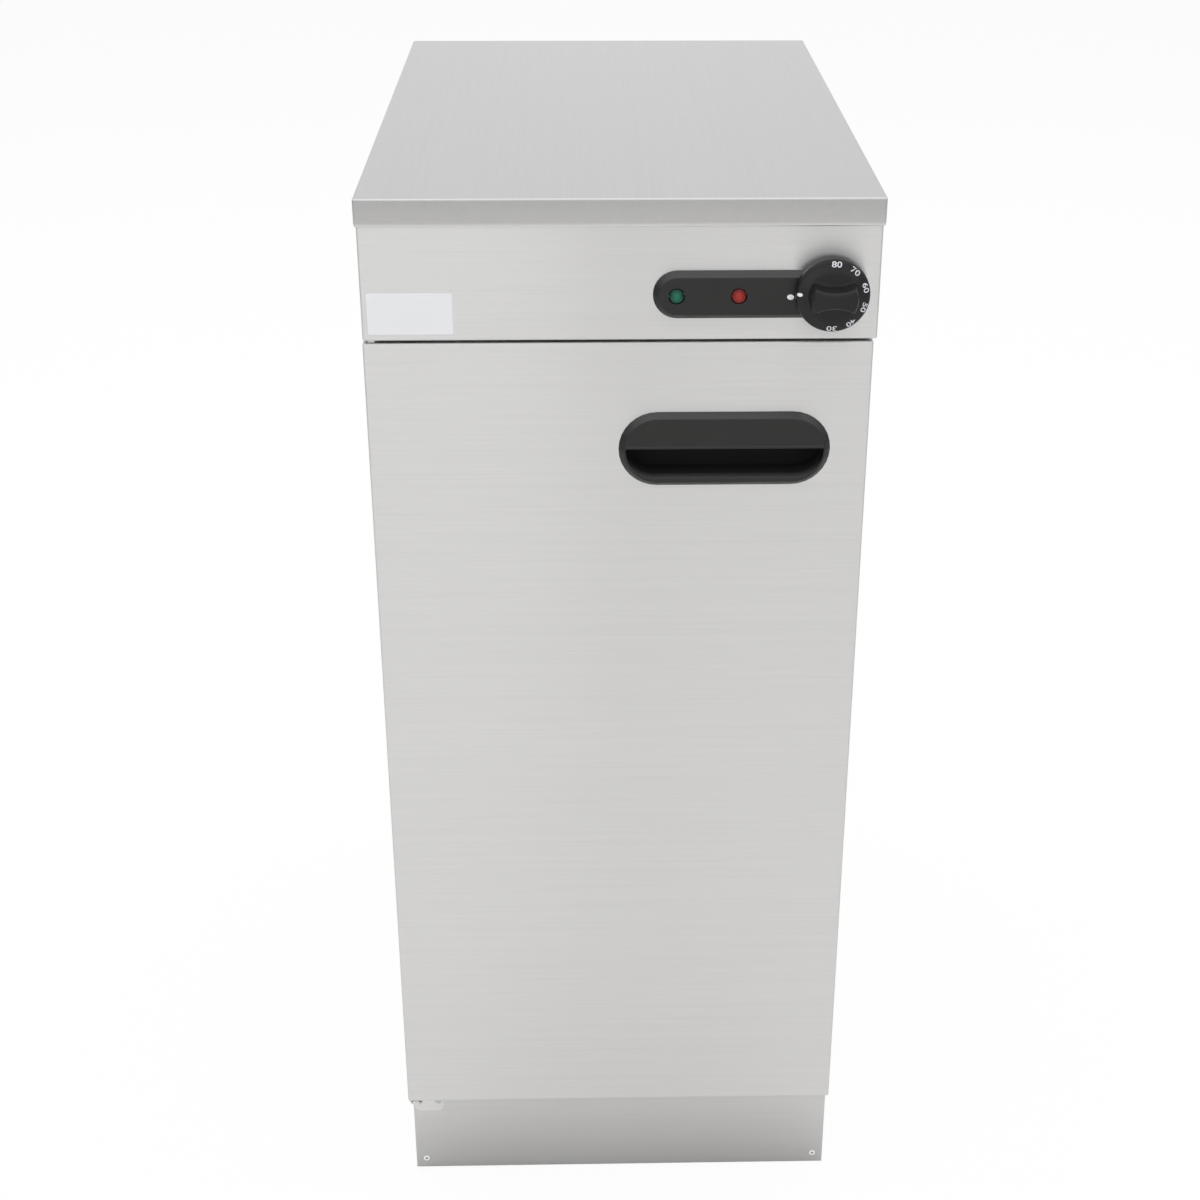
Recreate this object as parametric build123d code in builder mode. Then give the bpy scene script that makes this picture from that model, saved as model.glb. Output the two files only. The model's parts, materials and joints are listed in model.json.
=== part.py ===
from build123d import *
import os

# Plate warmer cabinet: a free-standing, single-door heated cupboard in folded stainless sheet.
# Millimetres. X runs to the right, Y to the back and Z up. The origin is on the floor, under the
# middle of the cabinet.

# ---------------------------------------------------------------- driving dimensions
WIDTH = 375.0
DEPTH = 600.0
HEIGHT = 900.0

SHEET = 1.2
LINER_SHEET = 1.0
BEND = 2.0
LIP = 20.0
CORNER = 1.5

BODY_HALF = 185.0
BODY_FRONT = -268.0
BODY_REAR = 298.0
FRONT_FLANGE = 20.0
REAR_FLANGE = 15.0
SHELL_BOTTOM = 2.0

FASCIA_HALF = 186.0
FASCIA_FRONT = -298.0
FASCIA_BOTTOM = 796.7

DOOR_LEFT = -186.5
DOOR_RIGHT = 184.0
DOOR_FRONT = -296.6
DOOR_THICK = 24.0
DOOR_BOTTOM = 101.0
DOOR_TOP = 794.5

HINGE_X = -180.0
HINGE_Y = -285.0
PIN_RADIUS = 3.0
BUSH_BORE = 3.05
BUSH_RADIUS = 5.0
BUSH_LENGTH = 13.0
BUSH_FLANGE_RADIUS = 6.3
BUSH_FLANGE = 1.0
HOLE_EASE = 0.1

PLINTH_HALF = 185.0
PLINTH_TOP = 100.0
PLINTH_RETURN = 15.0

CAVITY_HALF = 162.8
CAVITY_FLOOR = 121.0
CAVITY_TOP = 780.0
CAVITY_REAR = 275.8
RAIL_RETURN = 20.0

HANDLE_X = 77.2
HANDLE_Z = 712.2
HANDLE_LENGTH = 157.4
HANDLE_HEIGHT = 57.6
HANDLE_PROUD = 5.5
HANDLE_BEVEL = 4.0
CUP_LENGTH = 151.4
CUP_HEIGHT = 45.0
CUP_WALL = 2.0

BEZEL_LEFT = 23.1
BEZEL_RIGHT = 170.5
BEZEL_Z = 830.5
BEZEL_HEIGHT = 35.0
BEZEL_THICK = 6.0
BEZEL_BEVEL = 4.0
GREEN_LAMP_X = 39.9
RED_LAMP_X = 84.4

KNOB_X = 150.8
KNOB_Z = 833.2
KNOB_RADIUS = 26.5
KNOB_CLEARANCE = 1.2
KNOB_SKIRT = 8.0
KNOB_FACE = 11.0
KNOB_BOSS_RADIUS = 17.0
KNOB_HEIGHT = 23.0
SPINDLE_RADIUS = 3.0

SPINDLE_EASE = 0.06
SPINDLE_INNER = 13.5
SPINDLE_ENGAGEMENT = 15.0

RIVET_X = 176.0
RIVET_Z = 13.0
RIVET_HOLE = 1.7
RIVET_SHANK = 1.6
SCREW_HOLE = 2.0
SCREW_SHANK = 1.9

BRACKET_SHEET = 2.5
BRACKET_TONGUE_TOP = 99.0

CATCH_X = 140.0
CATCH_HALF = 20.0
CATCH_LOW = 764.0
CATCH_FACE = -270.8
CATCH_REAR = -248.0
MAGNET_HALF = 13.0
MAGNET_LOW = 766.5
MAGNET_TOP = 777.5
MAGNET_REAR = -258.0

SHELF_LEVELS = (335.0, 560.0)
GUARD_TOP = 176.0
ELEMENT_Z = 145.0
ELEMENT_RADIUS = 4.0

# ---------------------------------------------------------------- derived planes and edges
TOP_UNDERSIDE = HEIGHT - SHEET
FLANGE_INNER = BODY_FRONT + SHEET
PANEL_REAR = BODY_REAR - SHEET
WALL_INNER = BODY_HALF - SHEET
LINER_OUTER = CAVITY_HALF + LINER_SHEET
LINER_REAR_OUTER = CAVITY_REAR + LINER_SHEET
SIDE_BOTTOM = SHELL_BOTTOM + 2 * SHEET
PLINTH_FACE = BODY_FRONT - SHEET
FLOOR_UNDERSIDE = CAVITY_FLOOR - LINER_SHEET
DOOR_REAR = DOOR_FRONT + DOOR_THICK
DOOR_MIDDLE = (DOOR_LEFT + DOOR_RIGHT) / 2
DOOR_WIDTH = DOOR_RIGHT - DOOR_LEFT
DOOR_HEIGHT = DOOR_TOP - DOOR_BOTTOM
FASCIA_BACK = FASCIA_FRONT + SHEET
TOP_BRACKET_Z = FASCIA_BOTTOM + SHEET
BEZEL_FRONT = FASCIA_FRONT - BEZEL_THICK
KNOB_BASE = BEZEL_FRONT - KNOB_CLEARANCE
BEZEL_MIDDLE = (BEZEL_LEFT + BEZEL_RIGHT) / 2

CEILING_TOP = CAVITY_TOP + LINER_SHEET
TRAY_TOP = 801.0
TRAY_UNDERSIDE = TRAY_TOP - LINER_SHEET
BASE_PANEL_Z = 40.0
BASE_PANEL_WALL = 20.0

FOOT_X = 150.0
FOOT_FRONT_Y = -235.0
FOOT_REAR_Y = 262.0
FOOT_STEM_RADIUS = 4.0

THERMOSTAT_PLATE = 1.5
THERMOSTAT_DEPTH = 26.0
THERMOSTAT_REAR = FASCIA_BACK + THERMOSTAT_PLATE + THERMOSTAT_DEPTH
THERMOSTAT_SCREW_SPACING = 28.0
THERMOSTAT_SCREW_DEPTH = 9.0
THERMOSTAT_TAB = 7.0
LAMP_TAB = 6.0

LAMP_NECK_RADIUS = 4.5
LAMP_BODY_RADIUS = 6.0
LAMP_BODY_DEPTH = 26.0
LENS_RADIUS = 5.4
LENS_SEAT_PROUD = 2.0
LENS_PROUD = 1.2
LENS_SEAT = FASCIA_FRONT - LENS_SEAT_PROUD
LENS_FRONT = BEZEL_FRONT - LENS_PROUD
LAMP_REAR = FASCIA_BACK + LAMP_BODY_DEPTH

GLAND_X = 120.0
GLAND_Z = 845.0
GLAND_BORE = 5.5
GLAND_THREAD_RADIUS = 9.8
GLAND_HOLE_RADIUS = 10.0
GLAND_REAR = 326.0
EARTH_X = 80.0
EARTH_RADIUS = 3.0

WIRE_DUCT_HALF = 26.0
WIRE_DUCT_Y = 280.0
ELEMENT_END_X = 20.0
ELEMENT_END_Y = 283.0

BULB_X = 135.0
BULB_Y = 266.0
BULB_RADIUS = 3.0
BULB_BOTTOM = 670.0
BULB_TOP = 750.0
CAPILLARY_RADIUS = 1.0
CAPILLARY_Z = 839.0

BLOCK_X = 60.0
BLOCK_Y = 235.0
BLOCK_WIDTH = 48.0
BLOCK_DEPTH = 22.0
BLOCK_HEIGHT = 18.0
BLOCK_PITCH = 15.0
BLOCK_ENTRY_Z = TRAY_TOP + 6.0


# ---------------------------------------------------------------- helpers
def folded_sheet(points, side, plane, length, sheet=SHEET, bend=BEND):
    """Sheet folded along the points of an outline on a plane, and drawn out along its normal."""
    with BuildPart() as folded:
        with BuildSketch(plane):
            with BuildLine():
                FilletPolyline(*points, radius=bend)
                offset(amount=sheet, side=side)
            make_face()
        extrude(amount=length)
    return folded.part


def round_bar(points, radius, bend):
    """Round bar or tube of solid section, led along points with a round bend at each."""
    with BuildPart() as bar:
        with BuildLine() as route:
            FilletPolyline(*points, radius=bend)
        with BuildSketch(Plane(origin=route.line @ 0, z_dir=route.line % 0)):
            Circle(radius)
        sweep()
    return bar.part


def front_plane(y):
    """Upright plane at a depth, seen from the front: its x is X, its y is Z and it faces -Y."""
    return Plane.XZ.offset(-y)


# ---------------------------------------------------------------- outer casing
def make_worktop():
    """Pan with a lip all round, folded down over the casing."""
    with BuildPart() as worktop:
        with BuildSketch(Plane.XY.offset(HEIGHT - LIP)):
            Rectangle(WIDTH, DEPTH)
        extrude(amount=LIP)
        fillet(worktop.edges().filter_by(Axis.Z), radius=CORNER)
        fillet(worktop.edges().group_by(Axis.Z)[-1], radius=BEND)
        offset(amount=-SHEET, openings=worktop.faces().sort_by(Axis.Z)[0])
    worktop.part.label = "worktop"
    export_step(worktop.part, "parts/worktop.step")


def make_worktop_stiffener():
    """Hat section spot-welded under the worktop along its middle."""
    web_half = 25.0
    flange_half = 45.0
    drop = 14.0
    half_length = 255.0
    low = TOP_UNDERSIDE - drop
    points = [
        (-flange_half, TOP_UNDERSIDE),
        (-web_half, TOP_UNDERSIDE),
        (-web_half, low),
        (web_half, low),
        (web_half, TOP_UNDERSIDE),
        (flange_half, TOP_UNDERSIDE),
    ]
    with BuildPart() as worktop_stiffener:
        add(folded_sheet(points, Side.RIGHT, front_plane(half_length), 2 * half_length))
    worktop_stiffener.part.label = "worktop_stiffener"
    export_step(worktop_stiffener.part, "parts/worktop_stiffener.step")


def rear_screw_points():
    """Places of the rear panel's screws, in X and Z."""
    screw_x = BODY_HALF - REAR_FLANGE / 2
    screw_levels = (85.0, 340.0, 595.0, 850.0)
    return [(side * screw_x, z) for side in (-1, 1) for z in screw_levels]


def make_side_panel(name, hand):
    """Casing side, with a flange turned in at the front and another at the rear."""
    points = [
        (hand * (BODY_HALF - FRONT_FLANGE), BODY_FRONT),
        (hand * BODY_HALF, BODY_FRONT),
        (hand * BODY_HALF, PANEL_REAR),
        (hand * (BODY_HALF - REAR_FLANGE), PANEL_REAR),
    ]
    inward = Side.RIGHT if hand < 0 else Side.LEFT
    height = TOP_UNDERSIDE - SIDE_BOTTOM
    with BuildPart() as side_panel:
        add(folded_sheet(points, inward, Plane.XY.offset(SIDE_BOTTOM), height))
        with BuildSketch(front_plane(BODY_REAR)):
            with Locations(*[(x, z) for x, z in rear_screw_points() if x * hand > 0]):
                Circle(SCREW_HOLE)
        extrude(amount=REAR_FLANGE, mode=Mode.SUBTRACT)
        with BuildSketch(front_plane(FLANGE_INNER + SHEET)):
            with Locations((hand * RIVET_X, RIVET_Z)):
                Circle(RIVET_HOLE)
        extrude(amount=FRONT_FLANGE, mode=Mode.SUBTRACT)
    side_panel.part.label = name
    export_step(side_panel.part, f"parts/{name}.step")


def make_rear_panel():
    """Screwed-on back sheet, with two banks of vent slots and the holes for gland and earth."""
    margin = 0.2
    top = 878.0
    slot_length = 42.0
    slot_width = 4.0
    slot_pitch = 9.0
    slots_per_bank = 5
    bank_x = 60.0
    upper_bank_z = 845.0
    lower_bank_z = 80.0
    with BuildPart() as rear_panel:
        with BuildSketch(front_plane(BODY_REAR)):
            with Locations((0, (top + SIDE_BOTTOM) / 2)):
                RectangleRounded(2 * (BODY_HALF - margin), top - SIDE_BOTTOM, BEND)
            with Locations(*rear_screw_points()):
                Circle(SCREW_HOLE, mode=Mode.SUBTRACT)
            with Locations((GLAND_X, GLAND_Z)):
                Circle(GLAND_HOLE_RADIUS, mode=Mode.SUBTRACT)
            with Locations((EARTH_X, GLAND_Z)):
                Circle(EARTH_RADIUS + HOLE_EASE, mode=Mode.SUBTRACT)
            with Locations((-bank_x, upper_bank_z)):
                with GridLocations(slot_length, slot_pitch, 1, slots_per_bank):
                    SlotOverall(slot_length, slot_width, mode=Mode.SUBTRACT)
            for x in (-bank_x, bank_x):
                with Locations((x, lower_bank_z)):
                    with GridLocations(slot_length, slot_pitch, 1, slots_per_bank):
                        SlotOverall(slot_length, slot_width, mode=Mode.SUBTRACT)
        extrude(amount=SHEET)
    rear_panel.part.label = "rear_panel"
    export_step(rear_panel.part, "parts/rear_panel.step")


def make_rear_panel_screws():
    """Pan-head screws holding the rear panel to the side flanges."""
    head_radius = 3.8
    head = 2.4
    length = 9.0
    with BuildPart() as rear_panel_screws:
        with BuildSketch(front_plane(BODY_REAR)):
            with Locations(*rear_screw_points()):
                Circle(SCREW_SHANK)
        extrude(amount=length)
        with BuildSketch(front_plane(BODY_REAR)):
            with Locations(*rear_screw_points()):
                Circle(head_radius)
        extrude(amount=-head)
        fillet(rear_panel_screws.edges().group_by(Axis.Y)[-1], radius=head / 2)
        with BuildSketch(front_plane(BODY_REAR + head)):
            with Locations(*rear_screw_points()):
                Rectangle(head_radius, head / 3)
                Rectangle(head / 3, head_radius)
        extrude(amount=head / 2, mode=Mode.SUBTRACT)
    rear_panel_screws.part.label = "rear_panel_screws"
    export_step(rear_panel_screws.part, "parts/rear_panel_screws.step")


def make_control_fascia():
    """Folded tray across the front above the door, which carries the controls."""
    height = TOP_UNDERSIDE - FASCIA_BOTTOM
    spindle_gap = 2.0
    screw_x = THERMOSTAT_SCREW_SPACING / 2
    with BuildPart() as control_fascia:
        with BuildSketch(front_plane(FASCIA_FRONT)):
            with Locations((0, FASCIA_BOTTOM + height / 2)):
                Rectangle(2 * FASCIA_HALF, height)
        extrude(amount=FASCIA_FRONT - BODY_FRONT)
        fillet(control_fascia.edges().filter_by(Axis.Y), radius=CORNER)
        fillet(control_fascia.edges().group_by(Axis.Y)[0], radius=CORNER)
        offset(amount=-SHEET, openings=control_fascia.faces().sort_by(Axis.Y)[-1])
        with BuildSketch(front_plane(FASCIA_FRONT)):
            with Locations((GREEN_LAMP_X, BEZEL_Z), (RED_LAMP_X, BEZEL_Z)):
                Circle(LAMP_NECK_RADIUS + HOLE_EASE)
            with Locations((KNOB_X, KNOB_Z)):
                Circle(SPINDLE_RADIUS + spindle_gap)
            with Locations((KNOB_X - screw_x, KNOB_Z), (KNOB_X + screw_x, KNOB_Z)):
                Circle(SCREW_HOLE)
        extrude(amount=-2 * SHEET, mode=Mode.SUBTRACT)
        with BuildSketch(Plane.XY.offset(FASCIA_BOTTOM)):
            with Locations((HINGE_X, HINGE_Y)):
                Circle(PIN_RADIUS + HOLE_EASE)
        extrude(amount=SHEET, mode=Mode.SUBTRACT)
    control_fascia.part.label = "control_fascia"
    export_step(control_fascia.part, "parts/control_fascia.step")


def make_plinth_panel():
    """Kick plate between the floor and the door, folded back along its lower edge."""
    points = [
        (PLINTH_FACE + PLINTH_RETURN, SHELL_BOTTOM),
        (PLINTH_FACE, SHELL_BOTTOM),
        (PLINTH_FACE, PLINTH_TOP),
    ]
    with BuildPart() as plinth_panel:
        add(folded_sheet(points, Side.RIGHT, Plane.YZ.offset(-PLINTH_HALF), 2 * PLINTH_HALF))
        with BuildSketch(front_plane(BODY_FRONT)):
            with Locations((-RIVET_X, RIVET_Z), (RIVET_X, RIVET_Z)):
                Circle(RIVET_HOLE)
            with Locations(*bracket_screw_points()):
                Circle(SCREW_HOLE)
        extrude(amount=2 * SHEET, mode=Mode.SUBTRACT)
    plinth_panel.part.label = "plinth_panel"
    export_step(plinth_panel.part, "parts/plinth_panel.step")


def make_plinth_rivets():
    """Pop rivets through the plinth's lower corners, each with its mandrel hole."""
    head_radius = 2.8
    head = 1.0
    tail = 4.0
    mandrel_radius = 1.0
    places = [(-RIVET_X, RIVET_Z), (RIVET_X, RIVET_Z)]
    with BuildPart() as plinth_rivets:
        with BuildSketch(front_plane(PLINTH_FACE)):
            with Locations(*places):
                Circle(head_radius)
        extrude(amount=head)
        fillet(plinth_rivets.edges().group_by(Axis.Y)[0], radius=head / 2)
        with BuildSketch(front_plane(PLINTH_FACE)):
            with Locations(*places):
                Circle(RIVET_SHANK)
        extrude(amount=-tail)
        with BuildSketch(front_plane(PLINTH_FACE - head)):
            with Locations(*places):
                Circle(mandrel_radius)
        extrude(amount=-head - tail / 2, mode=Mode.SUBTRACT)
    plinth_rivets.part.label = "plinth_rivets"
    export_step(plinth_rivets.part, "parts/plinth_rivets.step")


def make_front_rails():
    """Channel below the door opening and angle above it, between the side flanges."""
    rail_half = BODY_HALF - FRONT_FLANGE
    rear = BODY_FRONT + RAIL_RETURN
    lower_bottom = 88.0
    upper_top = 812.0
    lower_points = [
        (rear, lower_bottom),
        (BODY_FRONT, lower_bottom),
        (BODY_FRONT, FLOOR_UNDERSIDE),
        (rear, FLOOR_UNDERSIDE),
    ]
    upper_points = [
        (rear, CAVITY_TOP),
        (BODY_FRONT, CAVITY_TOP),
        (BODY_FRONT, upper_top),
    ]
    start = Plane.YZ.offset(-rail_half)
    with BuildPart() as lower_front_rail:
        add(folded_sheet(lower_points, Side.RIGHT, start, 2 * rail_half))
        with BuildSketch(front_plane(BODY_FRONT)):
            with Locations(*bracket_screw_points()):
                Circle(SCREW_HOLE)
        extrude(amount=-2 * SHEET, mode=Mode.SUBTRACT)
    lower_front_rail.part.label = "lower_front_rail"
    export_step(lower_front_rail.part, "parts/lower_front_rail.step")
    with BuildPart() as upper_front_rail:
        add(folded_sheet(upper_points, Side.RIGHT, start, 2 * rail_half))
    upper_front_rail.part.label = "upper_front_rail"
    export_step(upper_front_rail.part, "parts/upper_front_rail.step")


def foot_places():
    """Places of the four levelling feet, in X and Y."""
    return [(x, y) for x in (-FOOT_X, FOOT_X) for y in (FOOT_FRONT_Y, FOOT_REAR_Y)]


def make_base_panel():
    """Tray closing the casing below, which carries the levelling feet."""
    rear = PANEL_REAR - SHEET
    depth = rear - FLANGE_INNER
    with BuildPart() as base_panel:
        with BuildSketch(Plane.XY.offset(BASE_PANEL_Z)):
            with Locations((0, FLANGE_INNER + depth / 2)):
                Rectangle(2 * WALL_INNER, depth)
        extrude(amount=BASE_PANEL_WALL)
        fillet(base_panel.edges().filter_by(Axis.Z), radius=BEND)
        fillet(base_panel.edges().group_by(Axis.Z)[0], radius=BEND)
        offset(amount=-SHEET, openings=base_panel.faces().sort_by(Axis.Z)[-1])
        with BuildSketch(Plane.XY.offset(BASE_PANEL_Z)):
            with Locations(*foot_places()):
                Circle(FOOT_STEM_RADIUS + HOLE_EASE)
        extrude(amount=2 * SHEET, mode=Mode.SUBTRACT)
    base_panel.part.label = "base_panel"
    export_step(base_panel.part, "parts/base_panel.step")


def make_levelling_feet():
    """Screw feet, each a round pad under a hexagon and a threaded stem."""
    pad_radius = 16.0
    pad = 7.0
    neck_radius = 6.0
    hexagon = 8.0
    hexagon_height = 6.0
    stem_top = 60.0
    with BuildPart() as levelling_feet:
        with BuildSketch():
            with Locations(*foot_places()):
                Circle(pad_radius)
        extrude(amount=pad)
        fillet(levelling_feet.edges().group_by(Axis.Z)[-1], radius=pad / 2)
        with BuildSketch(Plane.XY.offset(pad)):
            with Locations(*foot_places()):
                Circle(neck_radius)
        extrude(amount=BASE_PANEL_Z - hexagon_height - pad)
        with BuildSketch(Plane.XY.offset(BASE_PANEL_Z - hexagon_height)):
            with Locations(*foot_places()):
                RegularPolygon(hexagon, 6)
        extrude(amount=hexagon_height)
        with BuildSketch(Plane.XY.offset(BASE_PANEL_Z)):
            with Locations(*foot_places()):
                Circle(FOOT_STEM_RADIUS)
        extrude(amount=stem_top - BASE_PANEL_Z)
    levelling_feet.part.label = "levelling_feet"
    export_step(levelling_feet.part, "parts/levelling_feet.step")


def make_feet_locknuts():
    """Locknuts over the base panel, one on each foot's stem."""
    hexagon = 7.5
    thick = 6.5
    with BuildPart() as feet_locknuts:
        with BuildSketch(Plane.XY.offset(BASE_PANEL_Z + SHEET)):
            with Locations(*foot_places()):
                RegularPolygon(hexagon, 6)
                Circle(FOOT_STEM_RADIUS + HOLE_EASE / 2, mode=Mode.SUBTRACT)
        extrude(amount=thick)
    feet_locknuts.part.label = "feet_locknuts"
    export_step(feet_locknuts.part, "parts/feet_locknuts.step")


# ---------------------------------------------------------------- heated cavity
def make_liner_side(name, hand):
    """Cavity side wall, with its front lip turned out behind the casing's flange."""
    lip_end = WALL_INNER - LINER_SHEET
    points = [
        (hand * lip_end, FLANGE_INNER),
        (hand * CAVITY_HALF, FLANGE_INNER),
        (hand * CAVITY_HALF, CAVITY_REAR),
    ]
    outward = Side.LEFT if hand < 0 else Side.RIGHT
    height = CAVITY_TOP - FLOOR_UNDERSIDE
    plane = Plane.XY.offset(FLOOR_UNDERSIDE)
    with BuildPart() as liner_side:
        add(folded_sheet(points, outward, plane, height, LINER_SHEET))
    liner_side.part.label = name
    export_step(liner_side.part, f"parts/{name}.step")


def make_liner_rear():
    """Cavity back wall, with holes for the two ends of the element."""
    height = CAVITY_TOP - FLOOR_UNDERSIDE
    with BuildPart() as liner_rear:
        with BuildSketch(front_plane(LINER_REAR_OUTER)):
            with Locations((0, FLOOR_UNDERSIDE + height / 2)):
                Rectangle(2 * LINER_OUTER, height)
            with Locations((-ELEMENT_END_X, ELEMENT_Z), (ELEMENT_END_X, ELEMENT_Z)):
                Circle(ELEMENT_RADIUS + HOLE_EASE, mode=Mode.SUBTRACT)
        extrude(amount=LINER_SHEET)
    liner_rear.part.label = "liner_rear"
    export_step(liner_rear.part, "parts/liner_rear.step")


def make_liner_floor():
    """Cavity floor, turned up along both walls."""
    upstand = 10.0
    front = FLANGE_INNER + LINER_SHEET
    points = [
        (-CAVITY_HALF, CAVITY_FLOOR + upstand),
        (-CAVITY_HALF, FLOOR_UNDERSIDE),
        (CAVITY_HALF, FLOOR_UNDERSIDE),
        (CAVITY_HALF, CAVITY_FLOOR + upstand),
    ]
    length = CAVITY_REAR - front
    with BuildPart() as liner_floor:
        add(folded_sheet(points, Side.LEFT, front_plane(CAVITY_REAR), length, LINER_SHEET))
    liner_floor.part.label = "liner_floor"
    export_step(liner_floor.part, "parts/liner_floor.step")


def make_liner_ceiling():
    """Cavity ceiling, resting on the three walls, with a hole for the capillary."""
    front = BODY_FRONT + RAIL_RETURN
    depth = LINER_REAR_OUTER - front
    with BuildPart() as liner_ceiling:
        with BuildSketch(Plane.XY.offset(CAVITY_TOP)):
            with Locations((0, front + depth / 2)):
                Rectangle(2 * LINER_OUTER, depth)
            with Locations((BULB_X, BULB_Y)):
                Circle(2 * CAPILLARY_RADIUS, mode=Mode.SUBTRACT)
        extrude(amount=LINER_SHEET)
    liner_ceiling.part.label = "liner_ceiling"
    export_step(liner_ceiling.part, "parts/liner_ceiling.step")


def make_insulation():
    """Mineral wool slabs in the sides, the back and over the ceiling."""
    side_front = FLANGE_INNER + LINER_SHEET + BEND
    side_depth = LINER_REAR_OUTER - side_front
    side_thick = WALL_INNER - LINER_OUTER
    side_middle = (WALL_INNER + LINER_OUTER) / 2
    height = CAVITY_TOP - CAVITY_FLOOR
    rear_thick = PANEL_REAR - LINER_REAR_OUTER
    leg_gap = 3.0
    ceiling_half = LINER_OUTER - leg_gap
    ceiling_front = BODY_FRONT + RAIL_RETURN
    ceiling_depth = LINER_REAR_OUTER - ceiling_front
    with BuildPart() as side_insulation:
        with BuildSketch(Plane.XY.offset(CAVITY_FLOOR)):
            with Locations(
                (-side_middle, side_front + side_depth / 2),
                (side_middle, side_front + side_depth / 2),
            ):
                Rectangle(side_thick, side_depth)
        extrude(amount=height)
    side_insulation.part.label = "side_insulation"
    export_step(side_insulation.part, "parts/side_insulation.step")
    with BuildPart() as rear_insulation:
        with BuildSketch(Plane.XY.offset(CAVITY_FLOOR)):
            with Locations((0, LINER_REAR_OUTER + rear_thick / 2)):
                Rectangle(2 * LINER_OUTER, rear_thick)
            with Locations((0, WIRE_DUCT_Y + rear_thick / 2)):
                Rectangle(2 * WIRE_DUCT_HALF, rear_thick, mode=Mode.SUBTRACT)
        extrude(amount=height)
        with BuildSketch(front_plane(PANEL_REAR)):
            with Locations((-ELEMENT_END_X, ELEMENT_Z), (ELEMENT_END_X, ELEMENT_Z)):
                Circle(ELEMENT_RADIUS + HOLE_EASE)
        extrude(amount=rear_thick, mode=Mode.SUBTRACT)
    rear_insulation.part.label = "rear_insulation"
    export_step(rear_insulation.part, "parts/rear_insulation.step")
    with BuildPart() as ceiling_insulation:
        with BuildSketch(Plane.XY.offset(CEILING_TOP)):
            with Locations((0, ceiling_front + ceiling_depth / 2)):
                Rectangle(2 * ceiling_half, ceiling_depth)
            with Locations((BULB_X, BULB_Y)):
                Circle(2 * CAPILLARY_RADIUS, mode=Mode.SUBTRACT)
        extrude(amount=TRAY_UNDERSIDE - CEILING_TOP)
    ceiling_insulation.part.label = "ceiling_insulation"
    export_step(ceiling_insulation.part, "parts/ceiling_insulation.step")


def make_control_tray():
    """Sheet over the ceiling insulation, on two turned-down legs, under the wiring."""
    half = LINER_OUTER - LINER_SHEET
    front = FLANGE_INNER
    points = [
        (-half, CEILING_TOP),
        (-half, TRAY_TOP),
        (half, TRAY_TOP),
        (half, CEILING_TOP),
    ]
    leg_clear = FLANGE_INNER + RAIL_RETURN
    with BuildPart() as control_tray:
        add(
            folded_sheet(
                points,
                Side.RIGHT,
                front_plane(LINER_REAR_OUTER),
                LINER_REAR_OUTER - front,
                LINER_SHEET,
            )
        )
        with BuildSketch(Plane.XY.offset(CEILING_TOP)):
            with Locations((0, (front + leg_clear) / 2)):
                Rectangle(2 * LINER_OUTER, leg_clear - front)
        extrude(amount=TRAY_UNDERSIDE - CEILING_TOP, mode=Mode.SUBTRACT)
        with BuildSketch(Plane.XY.offset(CEILING_TOP)):
            with Locations((BULB_X, BULB_Y)):
                Circle(2 * CAPILLARY_RADIUS)
        extrude(amount=TRAY_TOP - CEILING_TOP, mode=Mode.SUBTRACT)
    control_tray.part.label = "control_tray"
    export_step(control_tray.part, "parts/control_tray.step")


def make_heating_element():
    """Sheathed tubular element, bent into one flat looped run over the cavity floor."""
    outer_x = 118.0
    inner_x = 42.0
    rear_y = 215.0
    loop_y = 150.0
    front_y = -190.0
    bend = 22.0
    half_run = [
        (ELEMENT_END_X, ELEMENT_END_Y),
        (ELEMENT_END_X, rear_y),
        (outer_x, rear_y),
        (outer_x, front_y),
        (inner_x, front_y),
        (inner_x, loop_y),
    ]
    end_bend = ELEMENT_END_X - ELEMENT_RADIUS
    inner_bends = 2 * (len(half_run) - 2)
    bends = [end_bend] + [bend] * inner_bends + [end_bend]
    left_run = [(-x, y, ELEMENT_Z) for x, y in half_run]
    right_run = [(x, y, ELEMENT_Z) for x, y in reversed(half_run)]
    with BuildPart() as heating_element:
        add(round_bar(left_run + right_run, ELEMENT_RADIUS, bends))
    heating_element.part.label = "heating_element"
    export_step(heating_element.part, "parts/heating_element.step")


def make_element_brackets():
    """Two inverted channels that hold the element clear of the floor."""
    half_length = 130.0
    half_width = 8.0
    places = (-120.0, 90.0)
    top = ELEMENT_Z - ELEMENT_RADIUS
    with BuildPart() as element_brackets:
        for y in places:
            points = [
                (y - half_width, CAVITY_FLOOR),
                (y - half_width, top),
                (y + half_width, top),
                (y + half_width, CAVITY_FLOOR),
            ]
            start = Plane.YZ.offset(-half_length)
            add(folded_sheet(points, Side.RIGHT, start, 2 * half_length, LINER_SHEET))
    element_brackets.part.label = "element_brackets"
    export_step(element_brackets.part, "parts/element_brackets.step")


def make_element_guard():
    """Lift-out slotted plate over the element, standing on its two turned-down sides."""
    side_gap = 2.0
    half = CAVITY_HALF - side_gap
    front = -250.0
    rear = 268.0
    slot_length = 44.0
    slot_width = 8.0
    pitch_x = 60.0
    pitch_y = 30.0
    columns = 5
    rows = 15
    points = [
        (-half, CAVITY_FLOOR),
        (-half, GUARD_TOP),
        (half, GUARD_TOP),
        (half, CAVITY_FLOOR),
    ]
    with BuildPart() as element_guard:
        add(folded_sheet(points, Side.RIGHT, front_plane(rear), rear - front, LINER_SHEET))
        with BuildSketch(Plane.XY.offset(GUARD_TOP)):
            with Locations((0, (front + rear) / 2)):
                with GridLocations(pitch_x, pitch_y, columns, rows):
                    SlotOverall(slot_length, slot_width)
        extrude(amount=-2 * LINER_SHEET, mode=Mode.SUBTRACT)
    element_guard.part.label = "element_guard"
    export_step(element_guard.part, "parts/element_guard.step")


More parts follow.
